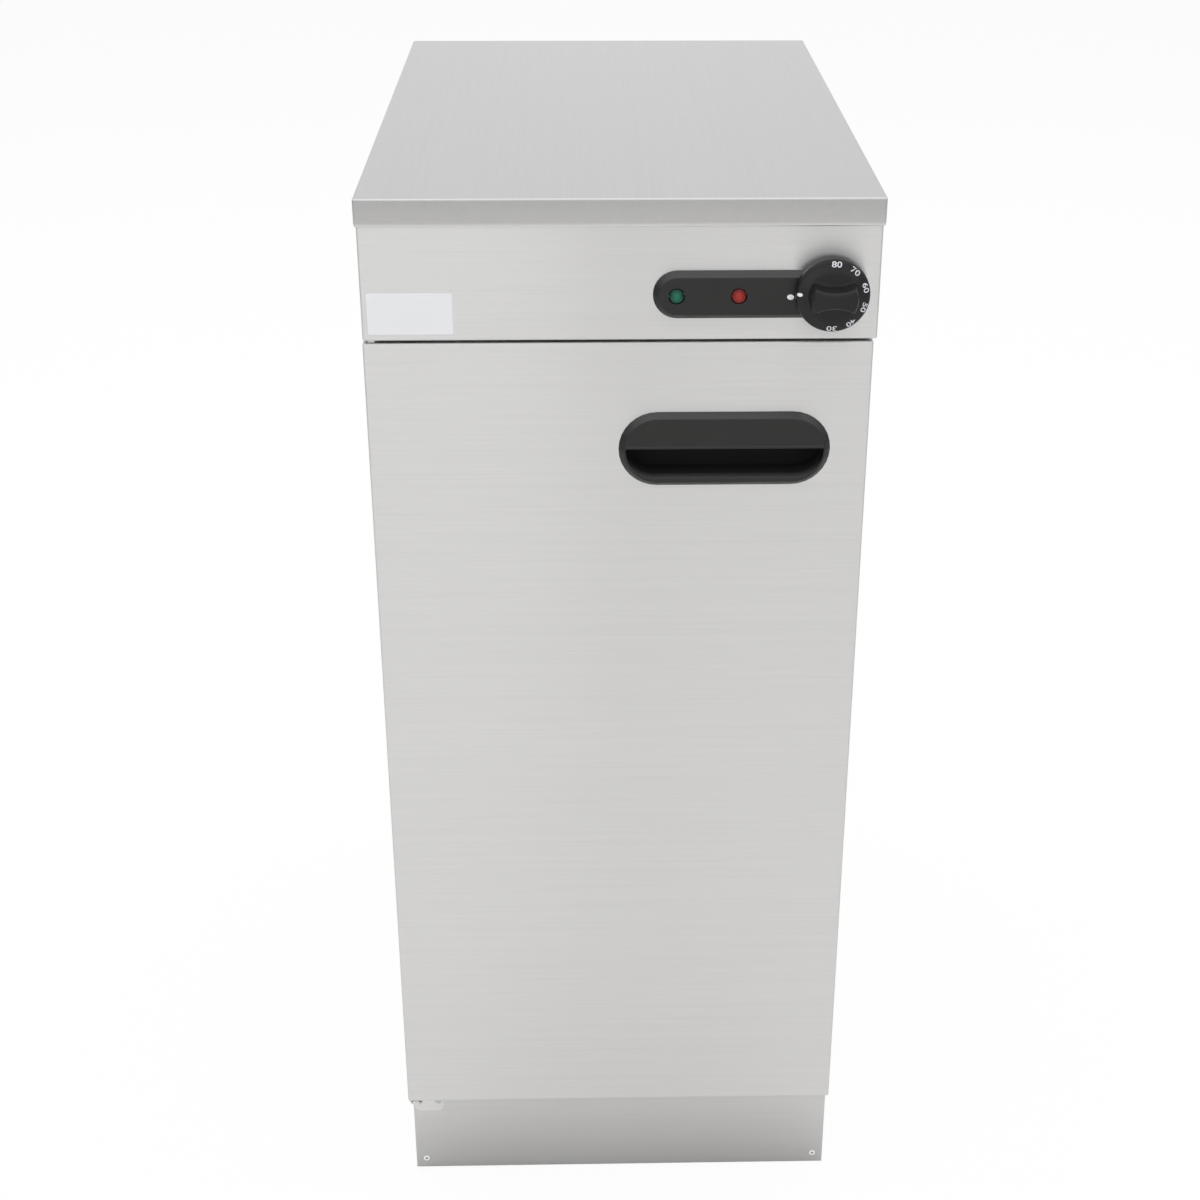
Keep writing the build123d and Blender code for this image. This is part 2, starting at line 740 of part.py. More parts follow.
def make_shelf_runners():
    """Angles on the cavity walls, a pair for each shelf."""
    leg = 14.0
    ledge = 12.0
    front = -240.0
    rear = 260.0
    with BuildPart() as shelf_runners:
        for level in SHELF_LEVELS:
            for hand in (-1, 1):
                points = [
                    (hand * CAVITY_HALF, level - leg),
                    (hand * CAVITY_HALF, level),
                    (hand * (CAVITY_HALF - ledge), level),
                ]
                inward = Side.RIGHT if hand < 0 else Side.LEFT
                add(folded_sheet(points, inward, front_plane(rear), rear - front, LINER_SHEET))
    shelf_runners.part.label = "shelf_runners"
    export_step(shelf_runners.part, "parts/shelf_runners.step")


def make_shelf(name, level):
    """Rod shelf: a rounded frame with a middle bar, and thin rods welded across."""
    frame_radius = 3.0
    rod_radius = 1.8
    weld_depth = 0.6
    side_gap = 3.0
    half_width = CAVITY_HALF - side_gap - frame_radius
    front = -246.0
    rear = 256.0
    corner = 18.0
    rods = 22
    frame_z = level + frame_radius
    rod_z = frame_z + frame_radius + rod_radius - weld_depth
    middle_y = (front + rear) / 2
    depth = rear - front
    rod_pitch = (depth - 2 * corner) / (rods - 1)
    with BuildPart() as shelf:
        with BuildLine(Plane.XY.offset(frame_z)):
            FilletPolyline(
                (-half_width, front),
                (half_width, front),
                (half_width, rear),
                (-half_width, rear),
                radius=corner,
                close=True,
            )
        with BuildSketch(Plane.YZ):
            with Locations((front, frame_z)):
                Circle(frame_radius)
        sweep()
        with BuildSketch(front_plane(rear)):
            with Locations((0, frame_z)):
                Circle(frame_radius)
        extrude(amount=depth)
        with BuildSketch(Plane.YZ.offset(-half_width)):
            with Locations((middle_y, rod_z)):
                with GridLocations(rod_pitch, rod_pitch, rods, 1):
                    Circle(rod_radius)
        extrude(amount=2 * half_width)
    shelf.part.label = name
    export_step(shelf.part, f"parts/{name}.step")


# ---------------------------------------------------------------- controls
def make_control_bezel():
    """Moulded black plate along the controls, bevelled all round its front edge."""
    length = BEZEL_RIGHT - BEZEL_LEFT
    lens_gap = 0.8
    hub_radius = 7.0
    screw_x = THERMOSTAT_SCREW_SPACING / 2
    pocket_radius = 4.2
    pocket = 2.6
    rim = 1.0
    with BuildPart() as control_bezel:
        with BuildSketch(front_plane(FASCIA_FRONT)):
            with Locations((BEZEL_MIDDLE, BEZEL_Z)):
                SlotOverall(length, BEZEL_HEIGHT)
        extrude(amount=rim)
        with BuildSketch(front_plane(FASCIA_FRONT - rim)):
            with Locations((BEZEL_MIDDLE, BEZEL_Z)):
                SlotOverall(length, BEZEL_HEIGHT)
        with BuildSketch(front_plane(BEZEL_FRONT)):
            with Locations((BEZEL_MIDDLE, BEZEL_Z)):
                SlotOverall(length - 2 * BEZEL_BEVEL, BEZEL_HEIGHT - 2 * BEZEL_BEVEL)
        loft(ruled=True)
        with BuildSketch(front_plane(FASCIA_FRONT)):
            with Locations((GREEN_LAMP_X, BEZEL_Z), (RED_LAMP_X, BEZEL_Z)):
                Circle(LENS_RADIUS + lens_gap)
            with Locations((KNOB_X, KNOB_Z)):
                Circle(hub_radius)
        extrude(amount=BEZEL_THICK, mode=Mode.SUBTRACT)
        with BuildSketch(front_plane(FASCIA_FRONT)):
            with Locations((KNOB_X - screw_x, KNOB_Z), (KNOB_X + screw_x, KNOB_Z)):
                Circle(pocket_radius)
        extrude(amount=pocket, mode=Mode.SUBTRACT)
    control_bezel.part.label = "control_bezel"
    export_step(control_bezel.part, "parts/control_bezel.step")


def make_lamps():
    """Two neon indicators: round bodies behind the fascia, with a domed lens each."""
    dome = 1.6
    tab_half = 2.0
    with BuildPart() as lamp_bodies:
        with BuildSketch(front_plane(LENS_SEAT)):
            with Locations((GREEN_LAMP_X, BEZEL_Z), (RED_LAMP_X, BEZEL_Z)):
                Circle(LAMP_NECK_RADIUS)
        extrude(amount=LENS_SEAT - FASCIA_BACK)
        with BuildSketch(front_plane(FASCIA_BACK)):
            with Locations((GREEN_LAMP_X, BEZEL_Z), (RED_LAMP_X, BEZEL_Z)):
                Circle(LAMP_BODY_RADIUS)
        extrude(amount=FASCIA_BACK - LAMP_REAR)
        with BuildSketch(front_plane(LAMP_REAR)):
            with Locations((GREEN_LAMP_X, BEZEL_Z), (RED_LAMP_X, BEZEL_Z)):
                with GridLocations(2 * tab_half, 1, 2, 1):
                    Rectangle(LINER_SHEET, 2 * tab_half)
        extrude(amount=-LAMP_TAB)
    lamp_bodies.part.label = "lamp_bodies"
    export_step(lamp_bodies.part, "parts/lamp_bodies.step")
    for name, lamp_x in (("green_lamp_lens", GREEN_LAMP_X), ("red_lamp_lens", RED_LAMP_X)):
        with BuildPart() as lens:
            with BuildSketch(front_plane(LENS_SEAT)):
                with Locations((lamp_x, BEZEL_Z)):
                    Circle(LENS_RADIUS)
            extrude(amount=LENS_SEAT - LENS_FRONT)
            fillet(lens.edges().group_by(Axis.Y)[0], radius=dome)
        lens.part.label = name
        export_step(lens.part, f"parts/{name}.step")


def make_thermostat_body():
    """Capillary thermostat behind the fascia: plate, housing, spindle bore and terminals."""
    plate_width = 40.0
    plate_height = 20.0
    body_width = 38.0
    body_height = 30.0
    bore_depth = 15.0
    tab_spacing = 10.0
    tab_width = 7.0
    screw_x = THERMOSTAT_SCREW_SPACING / 2
    with BuildPart() as thermostat_body:
        with BuildSketch(front_plane(FASCIA_BACK)):
            with Locations((KNOB_X, KNOB_Z)):
                RectangleRounded(plate_width, plate_height, BEND)
        extrude(amount=-THERMOSTAT_PLATE)
        with BuildSketch(front_plane(FASCIA_BACK + THERMOSTAT_PLATE)):
            with Locations((KNOB_X, KNOB_Z)):
                RectangleRounded(body_width, body_height, BEND)
        extrude(amount=-THERMOSTAT_DEPTH)
        with BuildSketch(front_plane(THERMOSTAT_REAR)):
            with Locations((KNOB_X, KNOB_Z)):
                with GridLocations(tab_spacing, 1, 3, 1):
                    Rectangle(LINER_SHEET, tab_width)
        extrude(amount=-THERMOSTAT_TAB)
        with BuildSketch(front_plane(FASCIA_BACK)):
            with Locations((KNOB_X, KNOB_Z)):
                Circle(SPINDLE_RADIUS + SPINDLE_EASE)
        extrude(amount=-bore_depth, mode=Mode.SUBTRACT)
        with BuildSketch(front_plane(FASCIA_BACK)):
            with Locations((KNOB_X - screw_x, KNOB_Z), (KNOB_X + screw_x, KNOB_Z)):
                Circle(SCREW_HOLE)
        extrude(amount=-THERMOSTAT_SCREW_DEPTH, mode=Mode.SUBTRACT)
    thermostat_body.part.label = "thermostat_body"
    export_step(thermostat_body.part, "parts/thermostat_body.step")


def make_thermostat_screws():
    """Screws through the fascia into the thermostat, hidden by the bezel and knob."""
    head_radius = 3.6
    head = 2.0
    length = 7.0
    screw_x = THERMOSTAT_SCREW_SPACING / 2
    places = [(KNOB_X - screw_x, KNOB_Z), (KNOB_X + screw_x, KNOB_Z)]
    with BuildPart() as thermostat_screws:
        with BuildSketch(front_plane(FASCIA_FRONT)):
            with Locations(*places):
                Circle(head_radius)
        extrude(amount=head)
        with BuildSketch(front_plane(FASCIA_FRONT)):
            with Locations(*places):
                Circle(SCREW_SHANK)
        extrude(amount=-length)
    thermostat_screws.part.label = "thermostat_screws"
    export_step(thermostat_screws.part, "parts/thermostat_screws.step")


def make_thermostat_spindle():
    """Round spindle turned by the knob."""
    rear = FASCIA_BACK + SPINDLE_INNER
    front = KNOB_BASE - SPINDLE_ENGAGEMENT
    with BuildPart() as thermostat_spindle:
        with BuildSketch(front_plane(rear)):
            with Locations((KNOB_X, KNOB_Z)):
                Circle(SPINDLE_RADIUS)
        extrude(amount=rear - front)
    thermostat_spindle.part.label = "thermostat_spindle"
    export_step(thermostat_spindle.part, "parts/thermostat_spindle.step")


def make_thermostat_knob():
    """Control knob: a skirt for the scale, and a round boss scooped into a finger bar."""
    underside = 5.0
    skirt_wall = 2.0
    hub_radius = 5.5
    edge = 1.2
    bar_half = 7.5
    scoop_radius = 33.0
    scoop_floor = 12.5
    scoop_draft = 12.0
    boss_draft = 1.0
    outline = [
        (0, 0),
        (KNOB_RADIUS, 0),
        (KNOB_RADIUS, KNOB_SKIRT),
        (KNOB_BOSS_RADIUS + boss_draft, KNOB_FACE),
        (KNOB_BOSS_RADIUS, KNOB_HEIGHT),
        (0, KNOB_HEIGHT),
    ]
    scoop_z = bar_half + scoop_radius
    with BuildPart() as thermostat_knob:
        with BuildSketch(Plane(origin=(KNOB_X, KNOB_BASE, KNOB_Z))):
            with BuildLine():
                Polyline(*[(r, -d) for r, d in outline], close=True)
            make_face()
        revolve(axis=Axis((KNOB_X, 0, KNOB_Z), (0, 1, 0)))
        fillet(thermostat_knob.edges().group_by(Axis.Y)[0], radius=edge)
        with BuildSketch(front_plane(KNOB_BASE - scoop_floor)):
            with Locations((KNOB_X, KNOB_Z + scoop_z), (KNOB_X, KNOB_Z - scoop_z)):
                Circle(scoop_radius)
        extrude(amount=KNOB_HEIGHT, taper=-scoop_draft, mode=Mode.SUBTRACT)
        with BuildSketch(front_plane(KNOB_BASE)):
            with Locations((KNOB_X, KNOB_Z)):
                Circle(KNOB_RADIUS - skirt_wall)
                Circle(hub_radius, mode=Mode.SUBTRACT)
        extrude(amount=underside, mode=Mode.SUBTRACT)
        with BuildSketch(front_plane(KNOB_BASE)):
            with Locations((KNOB_X, KNOB_Z)):
                Circle(SPINDLE_RADIUS)
        extrude(amount=SPINDLE_ENGAGEMENT, mode=Mode.SUBTRACT)
    thermostat_knob.part.label = "thermostat_knob"
    export_step(thermostat_knob.part, "parts/thermostat_knob.step")


def make_capillary():
    """Copper capillary from the thermostat to the sensing bulb at the cavity's rear wall."""
    start_x = KNOB_X + 8.0
    straight = 45.0
    bend = 14.0
    middle_y = 60.0
    middle_x = BULB_X + 6.0
    sag = 8.0
    points = [
        (start_x, THERMOSTAT_REAR, CAPILLARY_Z),
        (start_x, THERMOSTAT_REAR + straight, CAPILLARY_Z),
        (middle_x, middle_y, CAPILLARY_Z - sag),
        (BULB_X, BULB_Y, CAPILLARY_Z - sag / 2),
        (BULB_X, BULB_Y, BULB_TOP),
    ]
    with BuildPart() as capillary_tube:
        add(round_bar(points, CAPILLARY_RADIUS, bend))
    capillary_tube.part.label = "capillary_tube"
    export_step(capillary_tube.part, "parts/capillary_tube.step")
    with BuildPart() as sensing_bulb:
        with BuildSketch(Plane.XY.offset(BULB_BOTTOM)):
            with Locations((BULB_X, BULB_Y)):
                Circle(BULB_RADIUS)
        extrude(amount=BULB_TOP - BULB_BOTTOM)
        fillet(sensing_bulb.edges().filter_by(GeomType.CIRCLE), radius=BULB_RADIUS / 2)
    sensing_bulb.part.label = "sensing_bulb"
    export_step(sensing_bulb.part, "parts/sensing_bulb.step")


def make_bulb_clips():
    """Two clips on the rear wall that hold the sensing bulb off it."""
    clip_height = 8.0
    end_gap = 14.0
    wrap_thick = 1.2
    wrap = BULB_RADIUS + wrap_thick
    with BuildPart() as bulb_clips:
        for z in (BULB_BOTTOM + end_gap, BULB_TOP - end_gap - clip_height):
            with BuildSketch(Plane.XY.offset(z)):
                with Locations((BULB_X, BULB_Y)):
                    Circle(wrap)
                with Locations((BULB_X, (BULB_Y + CAVITY_REAR) / 2)):
                    Rectangle(2 * BULB_RADIUS, CAVITY_REAR - BULB_Y)
                with Locations((BULB_X, BULB_Y)):
                    Circle(BULB_RADIUS + HOLE_EASE / 2, mode=Mode.SUBTRACT)
            extrude(amount=clip_height)
    bulb_clips.part.label = "bulb_clips"
    export_step(bulb_clips.part, "parts/bulb_clips.step")


def make_terminal_block():
    """Ceramic terminal block on the control tray, with a screw well over each way."""
    well_radius = 2.6
    well_depth = 8.0
    entry_radius = 2.0
    with BuildPart() as terminal_block:
        with BuildSketch(Plane.XY.offset(TRAY_TOP)):
            with Locations((BLOCK_X, BLOCK_Y)):
                RectangleRounded(BLOCK_WIDTH, BLOCK_DEPTH, BEND)
        extrude(amount=BLOCK_HEIGHT)
        with BuildSketch(Plane.XY.offset(TRAY_TOP + BLOCK_HEIGHT)):
            with Locations((BLOCK_X, BLOCK_Y)):
                with GridLocations(BLOCK_PITCH, BLOCK_DEPTH / 2, 3, 2):
                    Circle(well_radius)
        extrude(amount=-well_depth, mode=Mode.SUBTRACT)
        with BuildSketch(front_plane(BLOCK_Y + BLOCK_DEPTH)):
            with Locations((BLOCK_X, BLOCK_ENTRY_Z)):
                with GridLocations(BLOCK_PITCH, 1, 3, 1):
                    Circle(entry_radius)
        extrude(amount=2 * BLOCK_DEPTH, mode=Mode.SUBTRACT)
    terminal_block.part.label = "terminal_block"
    export_step(terminal_block.part, "parts/terminal_block.step")


def make_cable_gland():
    """Supply gland through the rear panel: thread, hexagon and domed clamping nut."""
    hexagon = 13.0
    hexagon_thick = 6.0
    nut_radius = 11.5
    nose_radius = 8.0
    nose = 6.0
    thread_end = 284.0
    nut_start = BODY_REAR + hexagon_thick
    nose_start = GLAND_REAR - nose
    with BuildPart() as cable_gland:
        with BuildSketch(front_plane(BODY_REAR)):
            with Locations((GLAND_X, GLAND_Z)):
                Circle(GLAND_THREAD_RADIUS)
        extrude(amount=BODY_REAR - thread_end)
        with BuildSketch(front_plane(BODY_REAR)):
            with Locations((GLAND_X, GLAND_Z)):
                RegularPolygon(hexagon, 6)
        extrude(amount=-hexagon_thick)
        with BuildSketch(front_plane(nut_start)):
            with Locations((GLAND_X, GLAND_Z)):
                Circle(nut_radius)
        extrude(amount=nut_start - nose_start)
        with BuildSketch(front_plane(nose_start)):
            with Locations((GLAND_X, GLAND_Z)):
                Circle(nut_radius)
        with BuildSketch(front_plane(GLAND_REAR)):
            with Locations((GLAND_X, GLAND_Z)):
                Circle(nose_radius)
        loft()
        with BuildSketch(front_plane(GLAND_REAR)):
            with Locations((GLAND_X, GLAND_Z)):
                Circle(GLAND_BORE)
        extrude(amount=GLAND_REAR - thread_end, mode=Mode.SUBTRACT)
    cable_gland.part.label = "cable_gland"
    export_step(cable_gland.part, "parts/cable_gland.step")
    nut_thick = 5.0
    with BuildPart() as gland_locknut:
        with BuildSketch(front_plane(PANEL_REAR)):
            with Locations((GLAND_X, GLAND_Z)):
                RegularPolygon(hexagon + 1, 6)
                Circle(GLAND_THREAD_RADIUS + HOLE_EASE / 2, mode=Mode.SUBTRACT)
        extrude(amount=nut_thick)
    gland_locknut.part.label = "gland_locknut"
    export_step(gland_locknut.part, "parts/gland_locknut.step")


def make_earth_stud():
    """Earth stud through the rear panel, its hexagon head outside."""
    head = 5.5
    head_thick = 3.5
    inner_end = 280.0
    with BuildPart() as earth_stud:
        with BuildSketch(front_plane(BODY_REAR + head_thick)):
            with Locations((EARTH_X, GLAND_Z)):
                RegularPolygon(head, 6)
        extrude(amount=head_thick)
        with BuildSketch(front_plane(BODY_REAR)):
            with Locations((EARTH_X, GLAND_Z)):
                Circle(EARTH_RADIUS)
        extrude(amount=BODY_REAR - inner_end)
    earth_stud.part.label = "earth_stud"
    export_step(earth_stud.part, "parts/earth_stud.step")


def make_control_wiring():
    """Insulated leads from the terminal block to the lamps, the thermostat and the element."""
    wire_radius = 1.4
    bend = 9.0
    end_bend = 5.0
    end_gap = 0.3
    block_front = BLOCK_Y - BLOCK_DEPTH / 2
    block_rear = BLOCK_Y + BLOCK_DEPTH / 2
    block_run = 30.0
    lift = 14.0
    end_run = 60.0
    crossing_lift = 10.0
    crossing_spread = 6.0
    crossing_run = 8.0
    tab_end = LAMP_REAR + LAMP_TAB + end_gap
    thermostat_end = THERMOSTAT_REAR + THERMOSTAT_TAB + end_gap
    duct_y = (WIRE_DUCT_Y + PANEL_REAR) / 2
    front_ends = [
        (GREEN_LAMP_X, tab_end, BEZEL_Z),
        (RED_LAMP_X, tab_end, BEZEL_Z),
        (KNOB_X, thermostat_end, KNOB_Z),
    ]
    with BuildPart() as control_wiring:
        for place, (end_x, end_y, end_z) in enumerate(front_ends):
            way_x = BLOCK_X + (place - 1) * BLOCK_PITCH
            route = [
                (way_x, block_front, BLOCK_ENTRY_Z),
                (way_x, block_front - block_run, BLOCK_ENTRY_Z + lift),
                (end_x, end_y + end_run, end_z - place),
                (end_x, end_y, end_z),
            ]
            add(round_bar(route, wire_radius, bend))
        for hand in (-1, 1):
            way_x = BLOCK_X + hand * BLOCK_PITCH
            crossing_z = BLOCK_ENTRY_Z + crossing_lift + hand * crossing_spread
            crossing_y = duct_y - hand * crossing_spread / 2
            route = [
                (hand * ELEMENT_END_X, ELEMENT_END_Y, ELEMENT_Z),
                (hand * ELEMENT_END_X, duct_y, ELEMENT_Z),
                (hand * ELEMENT_END_X, duct_y, crossing_z),
                (way_x, crossing_y - crossing_run, crossing_z),
                (way_x, block_rear, BLOCK_ENTRY_Z),
            ]
            add(round_bar(route, wire_radius, [end_bend, bend, bend]))
    control_wiring.part.label = "control_wiring"
    export_step(control_wiring.part, "parts/control_wiring.step")


def make_name_label():
    """Blank stick-on plate at the left of the fascia."""
    left = -181.6
    right = -120.4
    bottom = 801.6
    top = 832.0
    thick = 0.4
    corner = 0.8
    with BuildPart() as name_label:
        with BuildSketch(front_plane(FASCIA_FRONT)):
            with Locations(((left + right) / 2, (bottom + top) / 2)):
                RectangleRounded(right - left, top - bottom, corner)
        extrude(amount=thick)
    name_label.part.label = "name_label"
    export_step(name_label.part, "parts/name_label.step")


# ---------------------------------------------------------------- hinges and catch
def bracket_screw_points():
    """Places of the lower hinge bracket's screws, in X and Z."""
    return [(-162.5, 92.5), (-162.5, 81.0)]


def make_bottom_hinge_bracket():
    """Angle on the plinth, with a tongue forward under the door that holds the lower pin."""
    left = -184.0
    right = -158.0
    low = 70.0
    corner = 6.0
    tongue_half = 5.5
    tongue_low = BRACKET_TONGUE_TOP - BRACKET_SHEET
    nose_y = HINGE_Y - tongue_half
    with BuildPart() as bottom_hinge_bracket:
        with BuildSketch(front_plane(PLINTH_FACE)):
            with Locations(((left + right) / 2, (low + BRACKET_TONGUE_TOP) / 2)):
                Rectangle(right - left, BRACKET_TONGUE_TOP - low)
            with Locations(*bracket_screw_points()):
                Circle(SCREW_HOLE, mode=Mode.SUBTRACT)
        extrude(amount=BRACKET_SHEET)
        lower_corners = bottom_hinge_bracket.edges().filter_by(Axis.Y).group_by(Axis.Z)[0]
        fillet(lower_corners, radius=corner)
        with BuildSketch(Plane.XY.offset(tongue_low)):
            with Locations((HINGE_X, (nose_y + PLINTH_FACE) / 2)):
                Rectangle(2 * tongue_half, PLINTH_FACE - nose_y)
            with Locations((HINGE_X, nose_y)):
                Circle(tongue_half)
            with Locations((HINGE_X, HINGE_Y)):
                Circle(PIN_RADIUS + HOLE_EASE, mode=Mode.SUBTRACT)
        extrude(amount=BRACKET_SHEET)
    bottom_hinge_bracket.part.label = "bottom_hinge_bracket"
    export_step(bottom_hinge_bracket.part, "parts/bottom_hinge_bracket.step")


def make_bottom_bracket_screws():
    """Low-head screws through the lower bracket into the plinth and rail."""
    head_radius = 3.6
    head = 0.7
    length = 7.0
    face = PLINTH_FACE - BRACKET_SHEET
    with BuildPart() as bottom_bracket_screws:
        with BuildSketch(front_plane(face)):
            with Locations(*bracket_screw_points()):
                Circle(head_radius)
        extrude(amount=head)
        with BuildSketch(front_plane(face)):
            with Locations(*bracket_screw_points()):
                Circle(SCREW_SHANK)
        extrude(amount=-length)
    bottom_bracket_screws.part.label = "bottom_bracket_screws"
    export_step(bottom_bracket_screws.part, "parts/bottom_bracket_screws.step")


def make_top_hinge_bracket():
    """Angle hidden in the fascia, over its lower return, that holds the upper pin."""
    left = -184.0
    right = -166.0
    upstand = 26.0
    reach = 9.0
    points = [
        (HINGE_Y - reach, TOP_BRACKET_Z),
        (BODY_FRONT, TOP_BRACKET_Z),
        (BODY_FRONT, TOP_BRACKET_Z + upstand),
    ]
    with BuildPart() as top_hinge_bracket:
        add(
            folded_sheet(
                points,
                Side.LEFT,
                Plane.YZ.offset(left),
                right - left,
                BRACKET_SHEET,
                BRACKET_SHEET + SHEET,
            )
        )
        with BuildSketch(Plane.XY.offset(TOP_BRACKET_Z)):
            with Locations((HINGE_X, HINGE_Y)):
                Circle(PIN_RADIUS + HOLE_EASE)
        extrude(amount=2 * BRACKET_SHEET, mode=Mode.SUBTRACT)
    top_hinge_bracket.part.label = "top_hinge_bracket"
    export_step(top_hinge_bracket.part, "parts/top_hinge_bracket.step")


def make_hinge_pins():
    """Two pivot pins: the upper one hangs from its bracket and the lower one stands in it."""
    engagement = 11.0
    head_radius = 4.6
    head = 3.0
    nut_hexagon = 4.9
    nut = 4.0
    tail = 2.0
    top_head_z = TOP_BRACKET_Z + BRACKET_SHEET
    nut_top = BRACKET_TONGUE_TOP - BRACKET_SHEET
    axis_place = (HINGE_X, HINGE_Y)
    with BuildPart() as hinge_pins:
        with BuildSketch(Plane.XY.offset(DOOR_TOP - engagement)):
            with Locations(axis_place):
                Circle(PIN_RADIUS)
        extrude(amount=top_head_z - DOOR_TOP + engagement)
        with BuildSketch(Plane.XY.offset(top_head_z)):
            with Locations(axis_place):
                Circle(head_radius)
        extrude(amount=head)
        with BuildSketch(Plane.XY.offset(nut_top - nut - tail)):
            with Locations(axis_place):
                Circle(PIN_RADIUS)
        extrude(amount=DOOR_BOTTOM + engagement - nut_top + nut + tail)
        with BuildSketch(Plane.XY.offset(nut_top - nut)):
            with Locations(axis_place):
                RegularPolygon(nut_hexagon, 6)
        extrude(amount=nut)
    hinge_pins.part.label = "hinge_pins"
    export_step(hinge_pins.part, "parts/hinge_pins.step")


def make_hinge_washers():
    """Nylon spacers on the pins, each with a block that shows in the gap at the front."""
    radius = 4.4
    block_half = 2.4
    block_front = -295.6
    block_rear = HINGE_Y - BUSH_FLANGE_RADIUS - 0.5
    spacers = (
        (FASCIA_BOTTOM, -0.8, -1.7),
        (BRACKET_TONGUE_TOP, 0.6, 1.5),
    )
    with BuildPart() as hinge_washers:
        for seat_z, washer_thick, block_thick in spacers:
            with BuildSketch(Plane.XY.offset(seat_z)):
                with Locations((HINGE_X, HINGE_Y)):
                    Circle(radius)
                with Locations((HINGE_X, (HINGE_Y + block_front) / 2)):
                    Rectangle(2 * block_half, HINGE_Y - block_front)
                with Locations((HINGE_X, HINGE_Y)):
                    Circle(PIN_RADIUS + HOLE_EASE, mode=Mode.SUBTRACT)
            extrude(amount=washer_thick)
            with BuildSketch(Plane.XY.offset(seat_z)):
                with Locations((HINGE_X, (block_rear + block_front) / 2)):
                    Rectangle(2 * block_half, block_rear - block_front)
            extrude(amount=block_thick)
    hinge_washers.part.label = "hinge_washers"
    export_step(hinge_washers.part, "parts/hinge_washers.step")


def make_hinge_bushes():
    """Flanged nylon bushes in the door's top and bottom edges."""
    with BuildPart() as hinge_bushes:
        for edge_z, inward in ((DOOR_TOP, -1), (DOOR_BOTTOM, 1)):
            with BuildSketch(Plane.XY.offset(edge_z)):
                with Locations((HINGE_X, HINGE_Y)):
                    Circle(BUSH_RADIUS)
                    Circle(BUSH_BORE, mode=Mode.SUBTRACT)
            extrude(amount=inward * BUSH_LENGTH)
            with BuildSketch(Plane.XY.offset(edge_z)):
                with Locations((HINGE_X, HINGE_Y)):
                    Circle(BUSH_FLANGE_RADIUS)
                    Circle(BUSH_BORE, mode=Mode.SUBTRACT)
            extrude(amount=-inward * BUSH_FLANGE)
    hinge_bushes.part.label = "hinge_bushes"
    export_step(hinge_bushes.part, "parts/hinge_bushes.step")


def make_magnetic_catch():
    """Magnetic catch under the upper rail, with its magnet block facing the door."""
    catch_middle = (CATCH_LOW + CAVITY_TOP) / 2
    magnet_middle = (MAGNET_LOW + MAGNET_TOP) / 2
    with BuildPart() as magnetic_catch:
        with BuildSketch(front_plane(CATCH_REAR)):
            with Locations((CATCH_X, catch_middle)):
                Rectangle(2 * CATCH_HALF, CAVITY_TOP - CATCH_LOW)
        extrude(amount=CATCH_REAR - CATCH_FACE)
        fillet(magnetic_catch.edges().filter_by(Axis.Y), radius=CORNER)
        with BuildSketch(front_plane(MAGNET_REAR)):
            with Locations((CATCH_X, magnet_middle)):
                Rectangle(2 * MAGNET_HALF, MAGNET_TOP - MAGNET_LOW)
        extrude(amount=MAGNET_REAR - CATCH_FACE, mode=Mode.SUBTRACT)
    magnetic_catch.part.label = "magnetic_catch"
    export_step(magnetic_catch.part, "parts/magnetic_catch.step")
    with BuildPart() as catch_magnet:
        with BuildSketch(front_plane(MAGNET_REAR)):
            with Locations((CATCH_X, magnet_middle)):
                Rectangle(2 * MAGNET_HALF, MAGNET_TOP - MAGNET_LOW)
        extrude(amount=MAGNET_REAR - CATCH_FACE)
    catch_magnet.part.label = "catch_magnet"
    export_step(catch_magnet.part, "parts/catch_magnet.step")
    plate_thick = 1.5
    plate_margin = 1.5
    plate_width = 2 * (MAGNET_HALF + plate_margin)
    plate_height = MAGNET_TOP - MAGNET_LOW + 2 * plate_margin
    with BuildPart() as catch_strike_plate:
        with BuildSketch(front_plane(DOOR_REAR + plate_thick)):
            with Locations((CATCH_X, magnet_middle)):
                RectangleRounded(plate_width, plate_height, CORNER)
        extrude(amount=plate_thick)
    catch_strike_plate.part.label = "catch_strike_plate"
    export_step(catch_strike_plate.part, "parts/catch_strike_plate.step")


# ---------------------------------------------------------------- door
def make_door_outer_skin():
    """Front pan of the door, with the handle's cut-out and holes for the hinge bushes."""
    cut_ease = 0.4
    with BuildPart() as door_outer_skin:
        with BuildSketch(front_plane(DOOR_REAR)):
            with Locations((DOOR_MIDDLE, DOOR_BOTTOM + DOOR_HEIGHT / 2)):
                Rectangle(DOOR_WIDTH, DOOR_HEIGHT)
        extrude(amount=DOOR_THICK)
        fillet(door_outer_skin.edges().filter_by(Axis.Y), radius=CORNER)
        fillet(door_outer_skin.edges().group_by(Axis.Y)[0], radius=CORNER)
        offset(amount=-SHEET, openings=door_outer_skin.faces().sort_by(Axis.Y)[-1])
        with BuildSketch(front_plane(DOOR_FRONT + 2 * SHEET)):
            with Locations((HANDLE_X, HANDLE_Z)):
                SlotOverall(CUP_LENGTH + cut_ease, CUP_HEIGHT + cut_ease)
        extrude(amount=3 * SHEET, mode=Mode.SUBTRACT)
        with BuildSketch(Plane.XY.offset(DOOR_BOTTOM)):
            with Locations((HINGE_X, HINGE_Y)):
                Circle(BUSH_RADIUS + HOLE_EASE / 2)
        extrude(amount=DOOR_HEIGHT, mode=Mode.SUBTRACT)
    door_outer_skin.part.label = "door_outer_skin"
    export_step(door_outer_skin.part, "parts/door_outer_skin.step")


